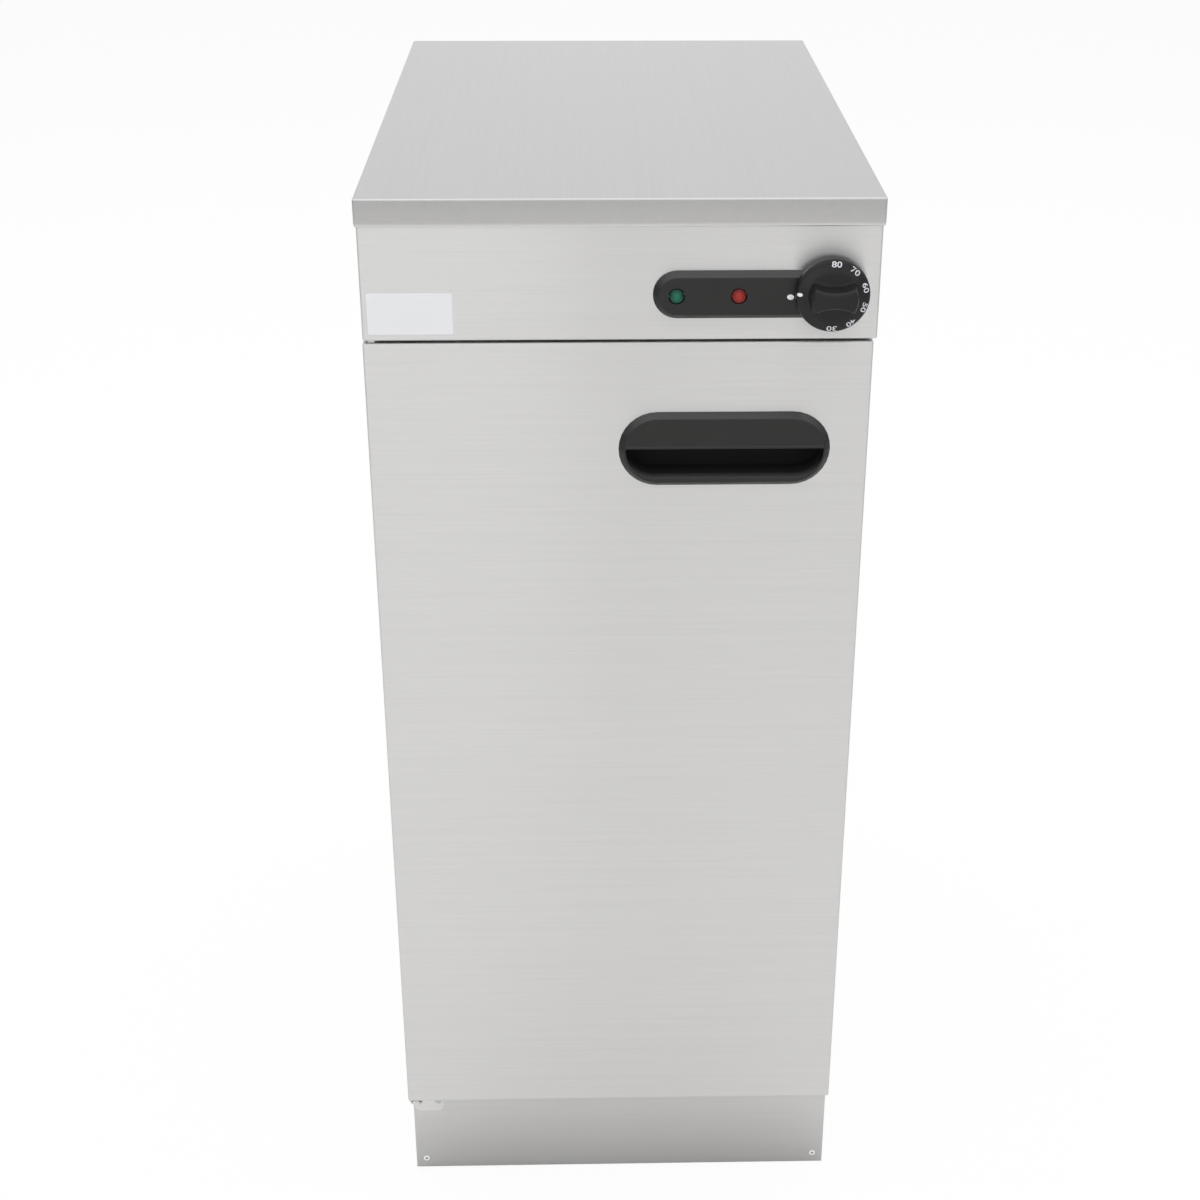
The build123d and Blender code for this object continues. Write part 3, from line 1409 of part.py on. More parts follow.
def make_door_inner_skin():
    """Inner sheet of the door, set flush in the edge of the front pan."""
    width = DOOR_WIDTH - 2 * SHEET
    height = DOOR_HEIGHT - 2 * SHEET
    with BuildPart() as door_inner_skin:
        with BuildSketch(front_plane(DOOR_REAR)):
            with Locations((DOOR_MIDDLE, DOOR_BOTTOM + DOOR_HEIGHT / 2)):
                RectangleRounded(width, height, CORNER)
        extrude(amount=SHEET)
    door_inner_skin.part.label = "door_inner_skin"
    export_step(door_inner_skin.part, "parts/door_inner_skin.step")


def make_door_insulation():
    """Mineral wool slab in the door, cut out round the handle cup."""
    side_gap = 12.0
    end_gap = 3.0
    cup_gap = 3.0
    left = HINGE_X + side_gap
    right = DOOR_RIGHT - SHEET - end_gap
    bottom = DOOR_BOTTOM + SHEET + end_gap
    top = DOOR_TOP - SHEET - end_gap
    thick = DOOR_THICK - 2 * SHEET
    with BuildPart() as door_insulation:
        with BuildSketch(front_plane(DOOR_REAR - SHEET)):
            with Locations(((left + right) / 2, (bottom + top) / 2)):
                Rectangle(right - left, top - bottom)
            with Locations((HANDLE_X, HANDLE_Z)):
                SlotOverall(CUP_LENGTH + cup_gap, CUP_HEIGHT + cup_gap, mode=Mode.SUBTRACT)
        extrude(amount=thick)
    door_insulation.part.label = "door_insulation"
    export_step(door_insulation.part, "parts/door_insulation.step")


def make_handle_cup():
    """Moulded recessed pull: a bevelled rim, a cover over the upper half and a deep cup."""
    rim = 0.5
    cover = 3.0
    cover_edge = 1.5
    back_wall = 2.0
    cup_back = DOOR_REAR - 2 * SHEET
    face = DOOR_FRONT - HANDLE_PROUD
    inner_length = CUP_LENGTH - 2 * CUP_WALL
    inner_height = CUP_HEIGHT - 2 * CUP_WALL
    with BuildPart() as handle_cup:
        with BuildSketch(front_plane(DOOR_FRONT)):
            with Locations((HANDLE_X, HANDLE_Z)):
                SlotOverall(HANDLE_LENGTH, HANDLE_HEIGHT)
        extrude(amount=rim)
        with BuildSketch(front_plane(DOOR_FRONT - rim)):
            with Locations((HANDLE_X, HANDLE_Z)):
                SlotOverall(HANDLE_LENGTH, HANDLE_HEIGHT)
        with BuildSketch(front_plane(face)):
            with Locations((HANDLE_X, HANDLE_Z)):
                SlotOverall(HANDLE_LENGTH - 2 * HANDLE_BEVEL, HANDLE_HEIGHT - 2 * HANDLE_BEVEL)
        loft(ruled=True)
        with BuildSketch(front_plane(cup_back)):
            with Locations((HANDLE_X, HANDLE_Z)):
                SlotOverall(CUP_LENGTH, CUP_HEIGHT)
        extrude(amount=cup_back - DOOR_FRONT)
        with BuildSketch(front_plane(cup_back - back_wall)):
            with Locations((HANDLE_X, HANDLE_Z)):
                SlotOverall(inner_length, inner_height)
        extrude(amount=cup_back - back_wall - face - cover, mode=Mode.SUBTRACT)
        with BuildSketch(front_plane(cup_back - back_wall)):
            with Locations((HANDLE_X, HANDLE_Z)):
                SlotOverall(inner_length, inner_height)
            with Locations((HANDLE_X, HANDLE_Z + cover_edge + inner_height / 2)):
                Rectangle(HANDLE_LENGTH, inner_height, mode=Mode.SUBTRACT)
        extrude(amount=2 * DOOR_THICK, mode=Mode.SUBTRACT)
    handle_cup.part.label = "handle_cup"
    export_step(handle_cup.part, "parts/handle_cup.step")


# ---------------------------------------------------------------- build
os.makedirs("parts", exist_ok=True)
make_worktop()
make_worktop_stiffener()
make_side_panel("left_side_panel", -1)
make_side_panel("right_side_panel", 1)
make_rear_panel()
make_rear_panel_screws()
make_control_fascia()
make_plinth_panel()
make_plinth_rivets()
make_front_rails()
make_base_panel()
make_levelling_feet()
make_feet_locknuts()
make_liner_side("liner_left", -1)
make_liner_side("liner_right", 1)
make_liner_rear()
make_liner_floor()
make_liner_ceiling()
make_insulation()
make_control_tray()
make_heating_element()
make_element_brackets()
make_element_guard()
make_shelf_runners()
for shelf_name, shelf_level in zip(("lower_shelf", "upper_shelf"), SHELF_LEVELS):
    make_shelf(shelf_name, shelf_level)
make_control_bezel()
make_lamps()
make_thermostat_body()
make_thermostat_screws()
make_thermostat_spindle()
make_thermostat_knob()
make_capillary()
make_bulb_clips()
make_terminal_block()
make_cable_gland()
make_earth_stud()
make_control_wiring()
make_name_label()
make_bottom_hinge_bracket()
make_bottom_bracket_screws()
make_top_hinge_bracket()
make_hinge_pins()
make_hinge_washers()
make_hinge_bushes()
make_magnetic_catch()
make_door_outer_skin()
make_door_inner_skin()
make_door_insulation()
make_handle_cup()
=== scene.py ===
import bmesh
import bpy
import json
from math import cos, pi, radians, sin, sqrt
from mathutils import Matrix, Vector


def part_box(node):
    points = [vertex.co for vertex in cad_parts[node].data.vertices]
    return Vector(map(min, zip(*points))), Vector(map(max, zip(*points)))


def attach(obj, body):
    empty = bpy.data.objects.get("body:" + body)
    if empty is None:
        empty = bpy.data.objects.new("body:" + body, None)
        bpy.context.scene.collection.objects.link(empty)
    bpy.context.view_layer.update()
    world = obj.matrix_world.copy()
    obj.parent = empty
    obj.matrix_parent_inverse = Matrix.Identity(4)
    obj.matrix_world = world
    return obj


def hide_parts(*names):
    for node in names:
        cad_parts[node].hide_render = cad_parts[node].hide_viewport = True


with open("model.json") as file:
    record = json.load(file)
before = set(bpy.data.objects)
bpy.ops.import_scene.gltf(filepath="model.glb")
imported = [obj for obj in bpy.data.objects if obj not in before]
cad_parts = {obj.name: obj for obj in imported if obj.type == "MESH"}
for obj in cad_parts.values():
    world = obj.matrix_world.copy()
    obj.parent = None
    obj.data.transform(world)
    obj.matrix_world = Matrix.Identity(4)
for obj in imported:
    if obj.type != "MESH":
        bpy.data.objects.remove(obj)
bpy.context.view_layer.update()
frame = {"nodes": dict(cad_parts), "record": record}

NODES = frame["nodes"]
SCENE = bpy.context.scene
MM = 0.001

# ---------------------------------------------------------------- camera
CAMERA_PLACE = (-0.02672, -1.69607, 1.25646)
CAMERA_YAW = radians(1.49)
CAMERA_PITCH = radians(27.29)
CAMERA_ROLL = radians(0.19)
SENSOR_MM = 36.0
FOCAL_SHARE = 2011.64 / 1200
CENTRE_SHIFT = (-0.02733, 0.0516)


def make_camera():
    """Stands the camera where the front and the worktop are both seen."""
    data = bpy.data.cameras.new("camera")
    data.sensor_fit = "HORIZONTAL"
    data.sensor_width = SENSOR_MM
    data.lens = SENSOR_MM * FOCAL_SHARE
    data.shift_x, data.shift_y = CENTRE_SHIFT
    data.clip_start = 0.05
    data.clip_end = 60
    camera = bpy.data.objects.new("camera", data)
    SCENE.collection.objects.link(camera)
    forward = Vector(
        (
            sin(CAMERA_YAW) * cos(CAMERA_PITCH),
            cos(CAMERA_YAW) * cos(CAMERA_PITCH),
            -sin(CAMERA_PITCH),
        )
    )
    level = Vector((cos(CAMERA_YAW), -sin(CAMERA_YAW), 0))
    upright = level.cross(forward)
    right = level * cos(CAMERA_ROLL) + upright * sin(CAMERA_ROLL)
    up = upright * cos(CAMERA_ROLL) - level * sin(CAMERA_ROLL)
    turn = Matrix((right, up, -forward)).transposed().to_4x4()
    camera.matrix_world = Matrix.Translation(CAMERA_PLACE) @ turn
    SCENE.camera = camera


# ---------------------------------------------------------------- materials
class Shader:
    """A material with one Principled node, and short calls to add nodes in front of it."""

    def __init__(self, name, colour, rough, **uniform):
        self.material = bpy.data.materials.new(name)
        self.material.use_nodes = True
        self.tree = self.material.node_tree
        self.tree.nodes.clear()
        output = self.tree.nodes.new("ShaderNodeOutputMaterial")
        self.surface = self.tree.nodes.new("ShaderNodeBsdfPrincipled")
        self.tree.links.new(self.surface.outputs[0], output.inputs["Surface"])
        self.surface.inputs["Base Color"].default_value = (*colour, 1)
        self.surface.inputs["Roughness"].default_value = rough
        for key, value in uniform.items():
            self.surface.inputs[key.replace("_", " ")].default_value = value
        places = self.tree.nodes.new("ShaderNodeTexCoord")
        self.places = places.outputs["Object"]

    def node(self, kind, settings=None, **inputs):
        """Adds a node. An underscore in the name of an input stands for a space."""
        made = self.tree.nodes.new("ShaderNode" + kind)
        for key, value in (settings or {}).items():
            setattr(made, key, value)
        for key, value in inputs.items():
            self.put(made.inputs[key.replace("_", " ")], value)
        return made

    def put(self, socket, value):
        """Links a socket to another, or sets it to a value."""
        if isinstance(value, bpy.types.NodeSocket):
            self.tree.links.new(value, socket)
        else:
            socket.default_value = value

    def noise(self, size, detail=2.0, stretch=(1, 1, 1)):
        """Noise, between 0 and 1, in cells of a size in metres, drawn out by stretch."""
        spread = self.node("Mapping", Vector=self.places, Scale=[1 / (size * s) for s in stretch])
        made = self.node("TexNoise", Vector=spread.outputs[0], Scale=1.0, Detail=detail)
        return made.outputs["Fac"]

    def from_axis(self, centre, reach):
        """0 on the axis along Y through a centre, and 1 at a reach from it."""
        spot = self.node("Mapping", Vector=self.places, Location=(-centre[0], 0, -centre[2]))
        spot.inputs["Scale"].default_value = (1, 0, 1)
        away = self.node("VectorMath", {"operation": "LENGTH"}, Vector=spot.outputs[0])
        return self.between(away.outputs["Value"], 0, 1, 0, reach)

    def between(self, share, low, high, start=0.0, end=1.0):
        """Runs from low to high while share runs from start to end."""
        made = self.node("MapRange", Value=share)
        for key, value in (("From Min", start), ("From Max", end), ("To Min", low), ("To Max", high)):
            made.inputs[key].default_value = value
        return made.outputs[0]

    def shade(self, share, other):
        """Colours the surface between its own colour and another, by a share."""
        mixed = self.node("Mix", {"data_type": "RGBA"})
        self.put(mixed.inputs[0], share)
        before = self.surface.inputs["Base Color"]
        if before.links:
            self.tree.links.new(before.links[0].from_socket, mixed.inputs[6])
        else:
            mixed.inputs[6].default_value = before.default_value
        mixed.inputs[7].default_value = (*other, 1)
        self.tree.links.new(mixed.outputs[2], before)

    def set_rough(self, value):
        self.put(self.surface.inputs["Roughness"], value)

    def bump(self, height, depth):
        """Relief of a depth in metres, added over what is there."""
        made = self.node("Bump", Height=height, Strength=1.0, Distance=depth)
        before = self.surface.inputs["Normal"]
        if before.links:
            self.tree.links.new(before.links[0].from_socket, made.inputs["Normal"])
        self.tree.links.new(made.outputs[0], before)


def scaled(colour, by):
    """A colour made darker or lighter by a factor."""
    return tuple(c * by for c in colour)


def brushed(name, colour, rough, grain, across, anisotropy=1.0, contrast=1.0, shaded_below=0.0):
    """Satin sheet. Its grain runs along one axis, and its shine is spread across it.

    The last argument is the height in metres under which painted shade darkens the sheet toward the floor.
    """
    grain_stretch = 200
    rough_spread = 0.008
    hairline_depth = 0.0000015
    made = Shader(name, colour, rough, Metallic=1.0, Anisotropic=anisotropy)
    along = Vector((1, 1, 1)) + grain_stretch * Vector(grain)
    turn = made.node(
        "VectorTransform",
        {"vector_type": "VECTOR", "convert_from": "OBJECT", "convert_to": "WORLD"},
        Vector=across,
    )
    made.put(made.surface.inputs["Tangent"], turn.outputs[0])
    hairline = made.noise(0.0003, 2, along)
    stroke = made.noise(0.0011, 3, along)
    cloud = made.noise(0.16, 3)
    drawn = made.noise(0.006, 2, along)
    layers = (
        (hairline, 0.30, 0.35, 0.78),
        (stroke, 0.25, 0.40, 0.85),
        (drawn, 0.20, 0.35, 1.06),
        (cloud, 0.15, 0.30, 1.04),
    )
    for pattern, strength, start, tint in layers:
        made.shade(made.between(pattern, 0, strength * contrast, start, 0.75), scaled(colour, tint))
    # Painted shade: the sheet darkens toward the floor, below the given height.
    if shaded_below:
        height = made.node("SeparateXYZ", Vector=made.places).outputs["Z"]
        made.shade(made.between(height, 1, 0, 0, shaded_below), scaled(colour, 0.76))
    made.set_rough(made.between(cloud, rough - rough_spread, rough + rough_spread, 0.3, 0.7))
    made.bump(hairline, hairline_depth * contrast)
    return made.material


TOOTH_DEPTH = 0.000008


def metal(name, colour, rough, stain=0.75, grit=0.0003, **uniform):
    """Plated, drawn or bare metal with a fine tooth and faint stains."""
    made = Shader(name, colour, rough, Metallic=1.0, **uniform)
    fine = made.noise(grit, 3)
    cloud = made.noise(0.012, 4)
    made.shade(made.between(cloud, 0, 0.6, 0.45, 0.8), scaled(colour, stain))
    made.shade(made.between(fine, 0, 0.25, 0.4, 0.7), scaled(colour, 0.85))
    made.set_rough(made.between(cloud, rough - 0.05, rough + 0.08, 0.3, 0.8))
    made.bump(fine, TOOTH_DEPTH)
    return made.material


def moulded(name, colour, rough, grain=0.000015, mottle=1.35, dust_and_top_light=None, dull_behind=None, **uniform):
    """Moulded plastic with a fine spark-eroded grain and faint handling marks.

    The colour given for dust is laid on its upward slopes, partly as dust and partly as painted light from
    above, and dull_behind is where, along Y, an unpolished recess starts, inside which that colour is
    taken off.
    """
    recess_rough = 0.9
    recess_edge = 0.003
    dust_light_starts, dust_light_full = 0.3, 0.85
    made = Shader(name, colour, rough, **uniform)
    fine = made.noise(0.00028, 2)
    cloud = made.noise(0.02, 4)
    made.shade(made.between(cloud, 0, 0.4, 0.42, 0.8), scaled(colour, mottle))
    # Upward slopes made lighter: dust, and painted light from above.
    if dust_and_top_light:
        facing = made.node("NewGeometry").outputs["Normal"]
        upward = made.node("SeparateXYZ", Vector=facing).outputs["Z"]
        made.shade(made.between(upward, 0, 1, dust_light_starts, dust_light_full), dust_and_top_light)
    worn = made.between(cloud, rough - 0.04, rough + 0.05, 0.3, 0.75)
    if dull_behind is None:
        made.set_rough(worn)
    else:
        depth = made.node("SeparateXYZ", Vector=made.places).outputs["Y"]
        deep = made.between(depth, 0, 1, dull_behind, dull_behind + recess_edge)
        # Inside the recess the dust and painted light from above are taken off again.
        made.shade(deep, colour)
        mixed = made.node("Mix")
        made.put(mixed.inputs[0], deep)
        made.put(mixed.inputs[2], worn)
        mixed.inputs[3].default_value = recess_rough
        made.set_rough(mixed.outputs[0])
    made.bump(fine, grain)
    return made.material


def lens_glass(name, node, glow_core, rim):
    """Tinted lamp lens with a painted glow: lighter over its middle, as if lit from within."""
    low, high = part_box(node)
    centre = (low + high) / 2
    made = Shader(name, glow_core, 0.2, Specular_IOR_Level=0.3)
    out = made.from_axis(centre, (high.x - low.x) / 2)
    speck = made.noise(0.0006, 2)
    # Painted glow: the lens is lightest in its middle and darkens out to its rim.
    made.shade(made.between(out, 0, 1, 0.1, 0.9), rim)
    made.shade(made.between(speck, 0, 0.25, 0.45, 0.8), scaled(glow_core, 1.2))
    made.set_rough(made.between(speck, 0.12, 0.22))
    return made.material


def fibrous(name, colour, size):
    """Felted fibre, such as mineral wool or a braided sleeve."""
    made = Shader(name, colour, 0.95, Sheen_Weight=0.3)
    strand = made.noise(size, 5, (1, 6, 1))
    knot = made.noise(size * 8, 3)
    made.shade(made.between(strand, 0, 0.8, 0.3, 0.7), scaled(colour, 0.6))
    made.shade(made.between(knot, 0, 0.5, 0.4, 0.8), scaled(colour, 1.25))
    made.bump(strand, size * 0.5)
    return made.material


X_AXIS, Y_AXIS, Z_AXIS = (1, 0, 0), (0, 1, 0), (0, 0, 1)
SATIN = 0.30
MILL_FINISH = 0.36
STEEL = (0.69, 0.69, 0.69)
TOP_STEEL = (0.688, 0.688, 0.698)
MILL_STEEL = (0.62, 0.62, 0.62)
BLACK = (0.008, 0.008, 0.008)
# Colour laid on upward slopes of black plastic: dust, and painted light from above.
DUST_AND_TOP_LIGHT = (0.048, 0.048, 0.050)
DOOR_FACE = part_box("door_outer_skin")[0].y
MATERIALS = {
    "casing_steel": brushed("satin_steel_across", STEEL, SATIN, X_AXIS, Z_AXIS),
    "worktop_steel": brushed("satin_steel_deep", TOP_STEEL, SATIN, Y_AXIS, X_AXIS, contrast=1.2),
    "side_steel": brushed("satin_steel_side", STEEL, SATIN, Y_AXIS, Z_AXIS),
    # The plinth is painted 6% darker than the rest, and darker still toward the floor: painted shade under
    # the door and near the floor.
    "plinth_steel_shaded": brushed("satin_steel_low_shaded", scaled(STEEL, 0.94), SATIN, X_AXIS, Z_AXIS, shaded_below=0.07),
    "liner_steel": brushed("mill_steel", MILL_STEEL, MILL_FINISH, Z_AXIS, Y_AXIS, 0.5, 0.7),
    "liner_flat_steel": brushed("mill_steel_flat", MILL_STEEL, MILL_FINISH, Y_AXIS, X_AXIS, 0.5, 0.7),
    "bright_rod": metal("drawn_rod", (0.74, 0.74, 0.75), 0.16, 0.8),
    "element_sheath": metal("element_sheath", (0.30, 0.28, 0.26), 0.42, 0.55),
    "zinc_steel": metal("zinc_plate", (0.64, 0.65, 0.66), 0.34, 0.82),
    "bracket_steel": brushed("bracket_steel", (0.73, 0.73, 0.73), 0.34, X_AXIS, Z_AXIS, 0.8),
    "mineral_wool": fibrous("mineral_wool", (0.55, 0.50, 0.34), 0.0012),
    "rivet_alloy": moulded("rivet_alloy", (0.94, 0.94, 0.95), 0.4, mottle=0.96, Metallic=0.35),
    # Painted shade: the mandrel end is coloured near black to stand for the shade deep in the rivet's
    # hole.
    "mandrel_shaded_dark": metal("mandrel_shaded_dark", (0.09, 0.09, 0.09), 0.5),
    "black_plastic": moulded("black_plastic", BLACK, 0.38, dust_and_top_light=DUST_AND_TOP_LIGHT, Specular_IOR_Level=0.45),
    "handle_plastic": moulded(
        "handle_plastic", BLACK, 0.38, dust_and_top_light=DUST_AND_TOP_LIGHT, dull_behind=DOOR_FACE, Specular_IOR_Level=0.45
    ),
    "knob_plastic": moulded("knob_plastic", (0.012, 0.012, 0.013), 0.34, 0.000006, Specular_IOR_Level=0.3),
    "housing_plastic": moulded("housing_plastic", (0.45, 0.44, 0.40), 0.5),
    # Lens colours are the painted lit middle, then the rim.
    "green_lens": lens_glass("green_lens", "green_lamp_lens", (0.010, 0.17, 0.098), (0.002, 0.030, 0.020)),
    "red_lens": lens_glass("red_lens", "red_lamp_lens", (0.42, 0.031, 0.018), (0.10, 0.005, 0.005)),
    "white_nylon": moulded("white_nylon", (0.80, 0.80, 0.77), 0.45, mottle=0.93),
    "magnet_iron": moulded("magnet_iron", (0.10, 0.10, 0.10), 0.5),
    "copper_tube": metal("copper_tube", (0.72, 0.36, 0.22), 0.3, 0.6),
    "ceramic_block": moulded("ceramic_block", (0.80, 0.79, 0.75), 0.25, mottle=0.95),
    "wire_sleeve": fibrous("wire_sleeve", (0.70, 0.70, 0.66), 0.0005),
    "label_sheet": moulded("label_sheet", (0.865, 0.875, 0.905), 0.32, mottle=0.98),
    "dial_ink": moulded("dial_ink", (0.74, 0.74, 0.79), 0.5, mottle=0.94),
    "dot_ink": moulded("dot_ink", (0.94, 0.94, 0.96), 0.5, mottle=0.97),
}

# Nodes whose material is not the one named after their slot.
OWN_LOOKS = {
    "worktop": "worktop_steel",
    "left_side_panel": "side_steel",
    "right_side_panel": "side_steel",
    "plinth_panel": "plinth_steel_shaded",
    "liner_floor": "liner_flat_steel",
    "liner_ceiling": "liner_flat_steel",
    "element_guard": "liner_flat_steel",
}


def dress_frame():
    """Gives every CAD node the material of its slot, or its own version of it."""
    slots = {s["node"]: s["material_slot"] for s in frame["record"]["subparts"]}
    for node, thing in NODES.items():
        thing.data.materials.clear()
        thing.data.materials.append(MATERIALS[OWN_LOOKS.get(node, slots[node])])


# ---------------------------------------------------------------- mesh helpers
ROUND = 64
CORNER_STEPS = 8
SHARP = radians(33)


def facing_front(y):
    """Turns (across, up, out) into a point, out toward the viewer from the plane at y."""
    return lambda across, up, out: (across, y - out, up)


def facing_back(y):
    """The same for the back: out is away from the viewer."""
    return lambda across, up, out: (across, y + out, up)


def rounded(low, high, radius, inset=0.0):
    """Points round a rectangle with rounded corners.

    radius is one number, or four from the lower left. inset draws the outline in.
    """
    least_bend = 0.01 * MM
    radii = radius if isinstance(radius, (tuple, list)) else [radius] * 4
    left, bottom = low[0] + inset, low[1] + inset
    right, top = high[0] - inset, high[1] - inset
    corners = ((left, bottom, 1, 1), (right, bottom, -1, 1), (right, top, -1, -1), (left, top, 1, -1))
    points = []
    for turn, ((x, z, toward_x, toward_z), bend) in enumerate(zip(corners, radii)):
        bend = max(bend - inset, least_bend)
        for step in range(CORNER_STEPS + 1):
            angle = pi + (turn + step / CORNER_STEPS) * pi / 2
            across = x + toward_x * bend + bend * cos(angle)
            up = z + toward_z * bend + bend * sin(angle)
            points.append((across, up))
    return points


def front_middle(low, high):
    """Middle of a box as the front shows it, as (x, z)."""
    return (low.x + high.x) / 2, (low.z + high.z) / 2


def round_outline(centre, reach, count=ROUND):
    """Points round a centre. reach is a radius, or gives the radius at an angle."""
    points = []
    for step in range(count):
        angle = 2 * pi * step / count
        radius = reach(angle) if callable(reach) else reach
        points.append((centre[0] + radius * cos(angle), centre[1] + radius * sin(angle)))
    return points


def turned(centre, profile):
    """Levels of a turned solid, from a profile of (radius, out)."""
    return [(round_outline(centre, radius), out) for radius, out in profile]


def quarter(steps=6):
    """Angles from 0 to a quarter turn."""
    return [pi / 2 * step / steps for step in range(steps + 1)]


def bevelled(proud, slope, rim):
    """Edge of a moulded plate, as (inset, out): a short wall, then a slope with soft corners."""
    rise = proud - rim
    return [
        (0, 0),
        (0, 0.7 * rim),
        (0.05 * slope, rim + 0.02 * rise),
        (0.14 * slope, rim + 0.13 * rise),
        (0.86 * slope, rim + 0.88 * rise),
        (0.98 * slope, rim + 0.97 * rise),
        (1.1 * slope, proud),
    ]


class Piece:
    """A closed solid made of rings of points, in the plane that place puts them in."""

    def __init__(self, place):
        self.mesh = bmesh.new()
        self.place = place

    def ring(self, outline, out):
        """Points of the mesh along an outline, at one distance out."""
        return [self.mesh.verts.new(self.place(across, up, out)) for across, up in outline]

    def skin(self, first, second):
        """Joins two rings of as many points with a band of faces."""
        for now in range(len(first)):
            after = (now + 1) % len(first)
            self.mesh.faces.new((first[now], first[after], second[after], second[now]))

    def stack(self, levels):
        """Skins a list of (outline, out), and gives back its first and last rings."""
        rings = [self.ring(outline, out) for outline, out in levels]
        for first, second in zip(rings, rings[1:]):
            self.skin(first, second)
        return rings[0], rings[-1]

    def fill(self, *rings):
        """Closes the flat region inside the first ring and outside the others."""
        edges = []
        for ring in rings:
            for now, after in zip(ring, ring[1:] + ring[:1]):
                edges.append(self.mesh.edges.get((now, after)) or self.mesh.edges.new((now, after)))
        bmesh.ops.triangle_fill(self.mesh, use_beauty=True, edges=edges)

    def solid(self, levels):
        """Skins a list of (outline, out), and closes both its ends flat."""
        first, last = self.stack(levels)
        self.fill(first)
        self.fill(last)

    def finish(self, name, body, look, replaced=(), sharp=SHARP):
        """Turns the mesh into a finished piece."""
        bmesh.ops.recalc_face_normals(self.mesh, faces=self.mesh.faces)
        mesh = bpy.data.meshes.new(name)
        self.mesh.to_mesh(mesh)
        self.mesh.free()
        return place_mesh(mesh, name, body, look, replaced, sharp)


def place_mesh(mesh, name, body, look, replaced=(), sharp=SHARP):
    """Makes a mesh a finished piece that rides on a body."""
    mesh.materials.clear()
    mesh.materials.append(MATERIALS[look])
    mesh.polygons.foreach_set("use_smooth", [True] * len(mesh.polygons))
    mesh.set_sharp_from_angle(angle=sharp)
    piece = bpy.data.objects.new(name, mesh)
    SCENE.collection.objects.link(piece)
    flat = piece.modifiers.new("flat_faces", "WEIGHTED_NORMAL")
    flat.keep_sharp = True
    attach(piece, body)
    if replaced:
        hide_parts(*replaced)
    return piece


# ---------------------------------------------------------------- worktop
def make_worktop():
    """Pan folded down all round, with closed corners and a dressed lower edge."""
    low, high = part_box("worktop")
    corner = 2.0 * MM
    bend = 1.1 * MM
    sheet = 1.0 * MM
    edge = 0.35 * MM
    lip = high.z - low.z
    tuck = 0.3 * MM
    tuck_starts = lip - 3 * MM
    profile = [(bend - bend * sin(a), bend - bend * cos(a)) for a in quarter()]
    profile += [(0, tuck_starts), (tuck * 0.4, lip - 1.2 * MM), (tuck, lip - edge), (tuck + edge, lip)]
    profile += [(tuck + sheet - edge, lip), (tuck + sheet, lip - edge), (sheet, tuck_starts)]
    profile += [(sheet, bend), (sheet + 0.2 * MM, sheet)]
    piece = Piece(lambda across, along, down: (across, along, high.z - down))
    piece.solid([(rounded(low, high, corner, inset), down) for inset, down in profile])
    piece.finish("worktop_pan", "cabinet", "worktop_steel", ["worktop"])


# ---------------------------------------------------------------- control plate
def make_bezel():
    """Black plate behind the knob, with holes for the lamps and the spindle, and screw pockets."""
    low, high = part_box("control_bezel")
    thick = high.y - low.y
    radius = (high.z - low.z) / 2
    lens_gap = 0.35 * MM
    edge = 0.4 * MM
    hub = 7.0 * MM
    pocket = [(4.2 * MM, 0), (4.2 * MM, 2.6 * MM)]
    piece = Piece(facing_front(high.y))
    flat_low, flat_high = (low.x, low.z), (high.x, high.z)
    edge_profile = bevelled(thick, 4.0 * MM, 1.0 * MM)
    back, front = piece.stack([(rounded(flat_low, flat_high, radius, i), out) for i, out in edge_profile])
    back_holes, front_holes = [], []
    knob_low, knob_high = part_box("thermostat_knob")
    knob = (knob_low + knob_high) / 2
    bores = [((knob.x, knob.z), hub)]
    for node in ("green_lamp_lens", "red_lamp_lens"):
        lens_low, lens_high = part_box(node)
        lens = (lens_low + lens_high) / 2
        bores.append(((lens.x, lens.z), (lens_high.x - lens_low.x) / 2 + lens_gap))
    for centre, bore in bores:
        profile = [(bore, 0)]
        profile += [(bore + edge - edge * cos(a), thick - edge + edge * sin(a)) for a in quarter(4)]
        near, far = piece.stack(turned(centre, profile))
        back_holes.append(near)
        front_holes.append(far)
    screw_low, screw_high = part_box("thermostat_screws")
    head = (screw_high.z - screw_low.z) / 2
    screw_z = (screw_low.z + screw_high.z) / 2
    for x in (screw_low.x + head, screw_high.x - head):
        near, far = piece.stack(turned((x, screw_z), pocket))
        piece.fill(far)
        back_holes.append(near)
    piece.fill(back, *back_holes)
    piece.fill(front, *front_holes)
    piece.finish("control_plate", "cabinet", "black_plastic", ["control_bezel"])


def make_lens(node, slot):
    """Lamp lens with a ring of pressed facets round a small flat eye."""
    low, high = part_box(node)
    radius = (high.x - low.x) / 2
    centre = front_middle(low, high)
    tall = high.y - low.y
    facets = 24
    facet_sharp = radians(8)

    def star(outer, inner):
        """Outline that goes in and out between two radii."""
        outline = []
        for step in range(facets):
            angle = 2 * pi * step / facets
            reach = outer if step % 2 == 0 else inner
            outline.append((centre[0] + reach * cos(angle), centre[1] + reach * sin(angle)))
        return outline

    # Outer radius, inner radius and height, as shares of the lens's own.
    levels = [
        (1.00, 1.00, 0.00),
        (1.00, 1.00, 0.60),
        (0.97, 0.96, 0.70),
        (0.86, 0.82, 0.84),
        (0.62, 0.57, 0.95),
        (0.32, 0.28, 1.00),
    ]
    piece = Piece(facing_front(high.y))
    piece.solid([(star(radius * outer, radius * inner), tall * out) for outer, inner, out in levels])
    piece.finish(node + "_faceted", "cabinet", slot, [node], sharp=facet_sharp)


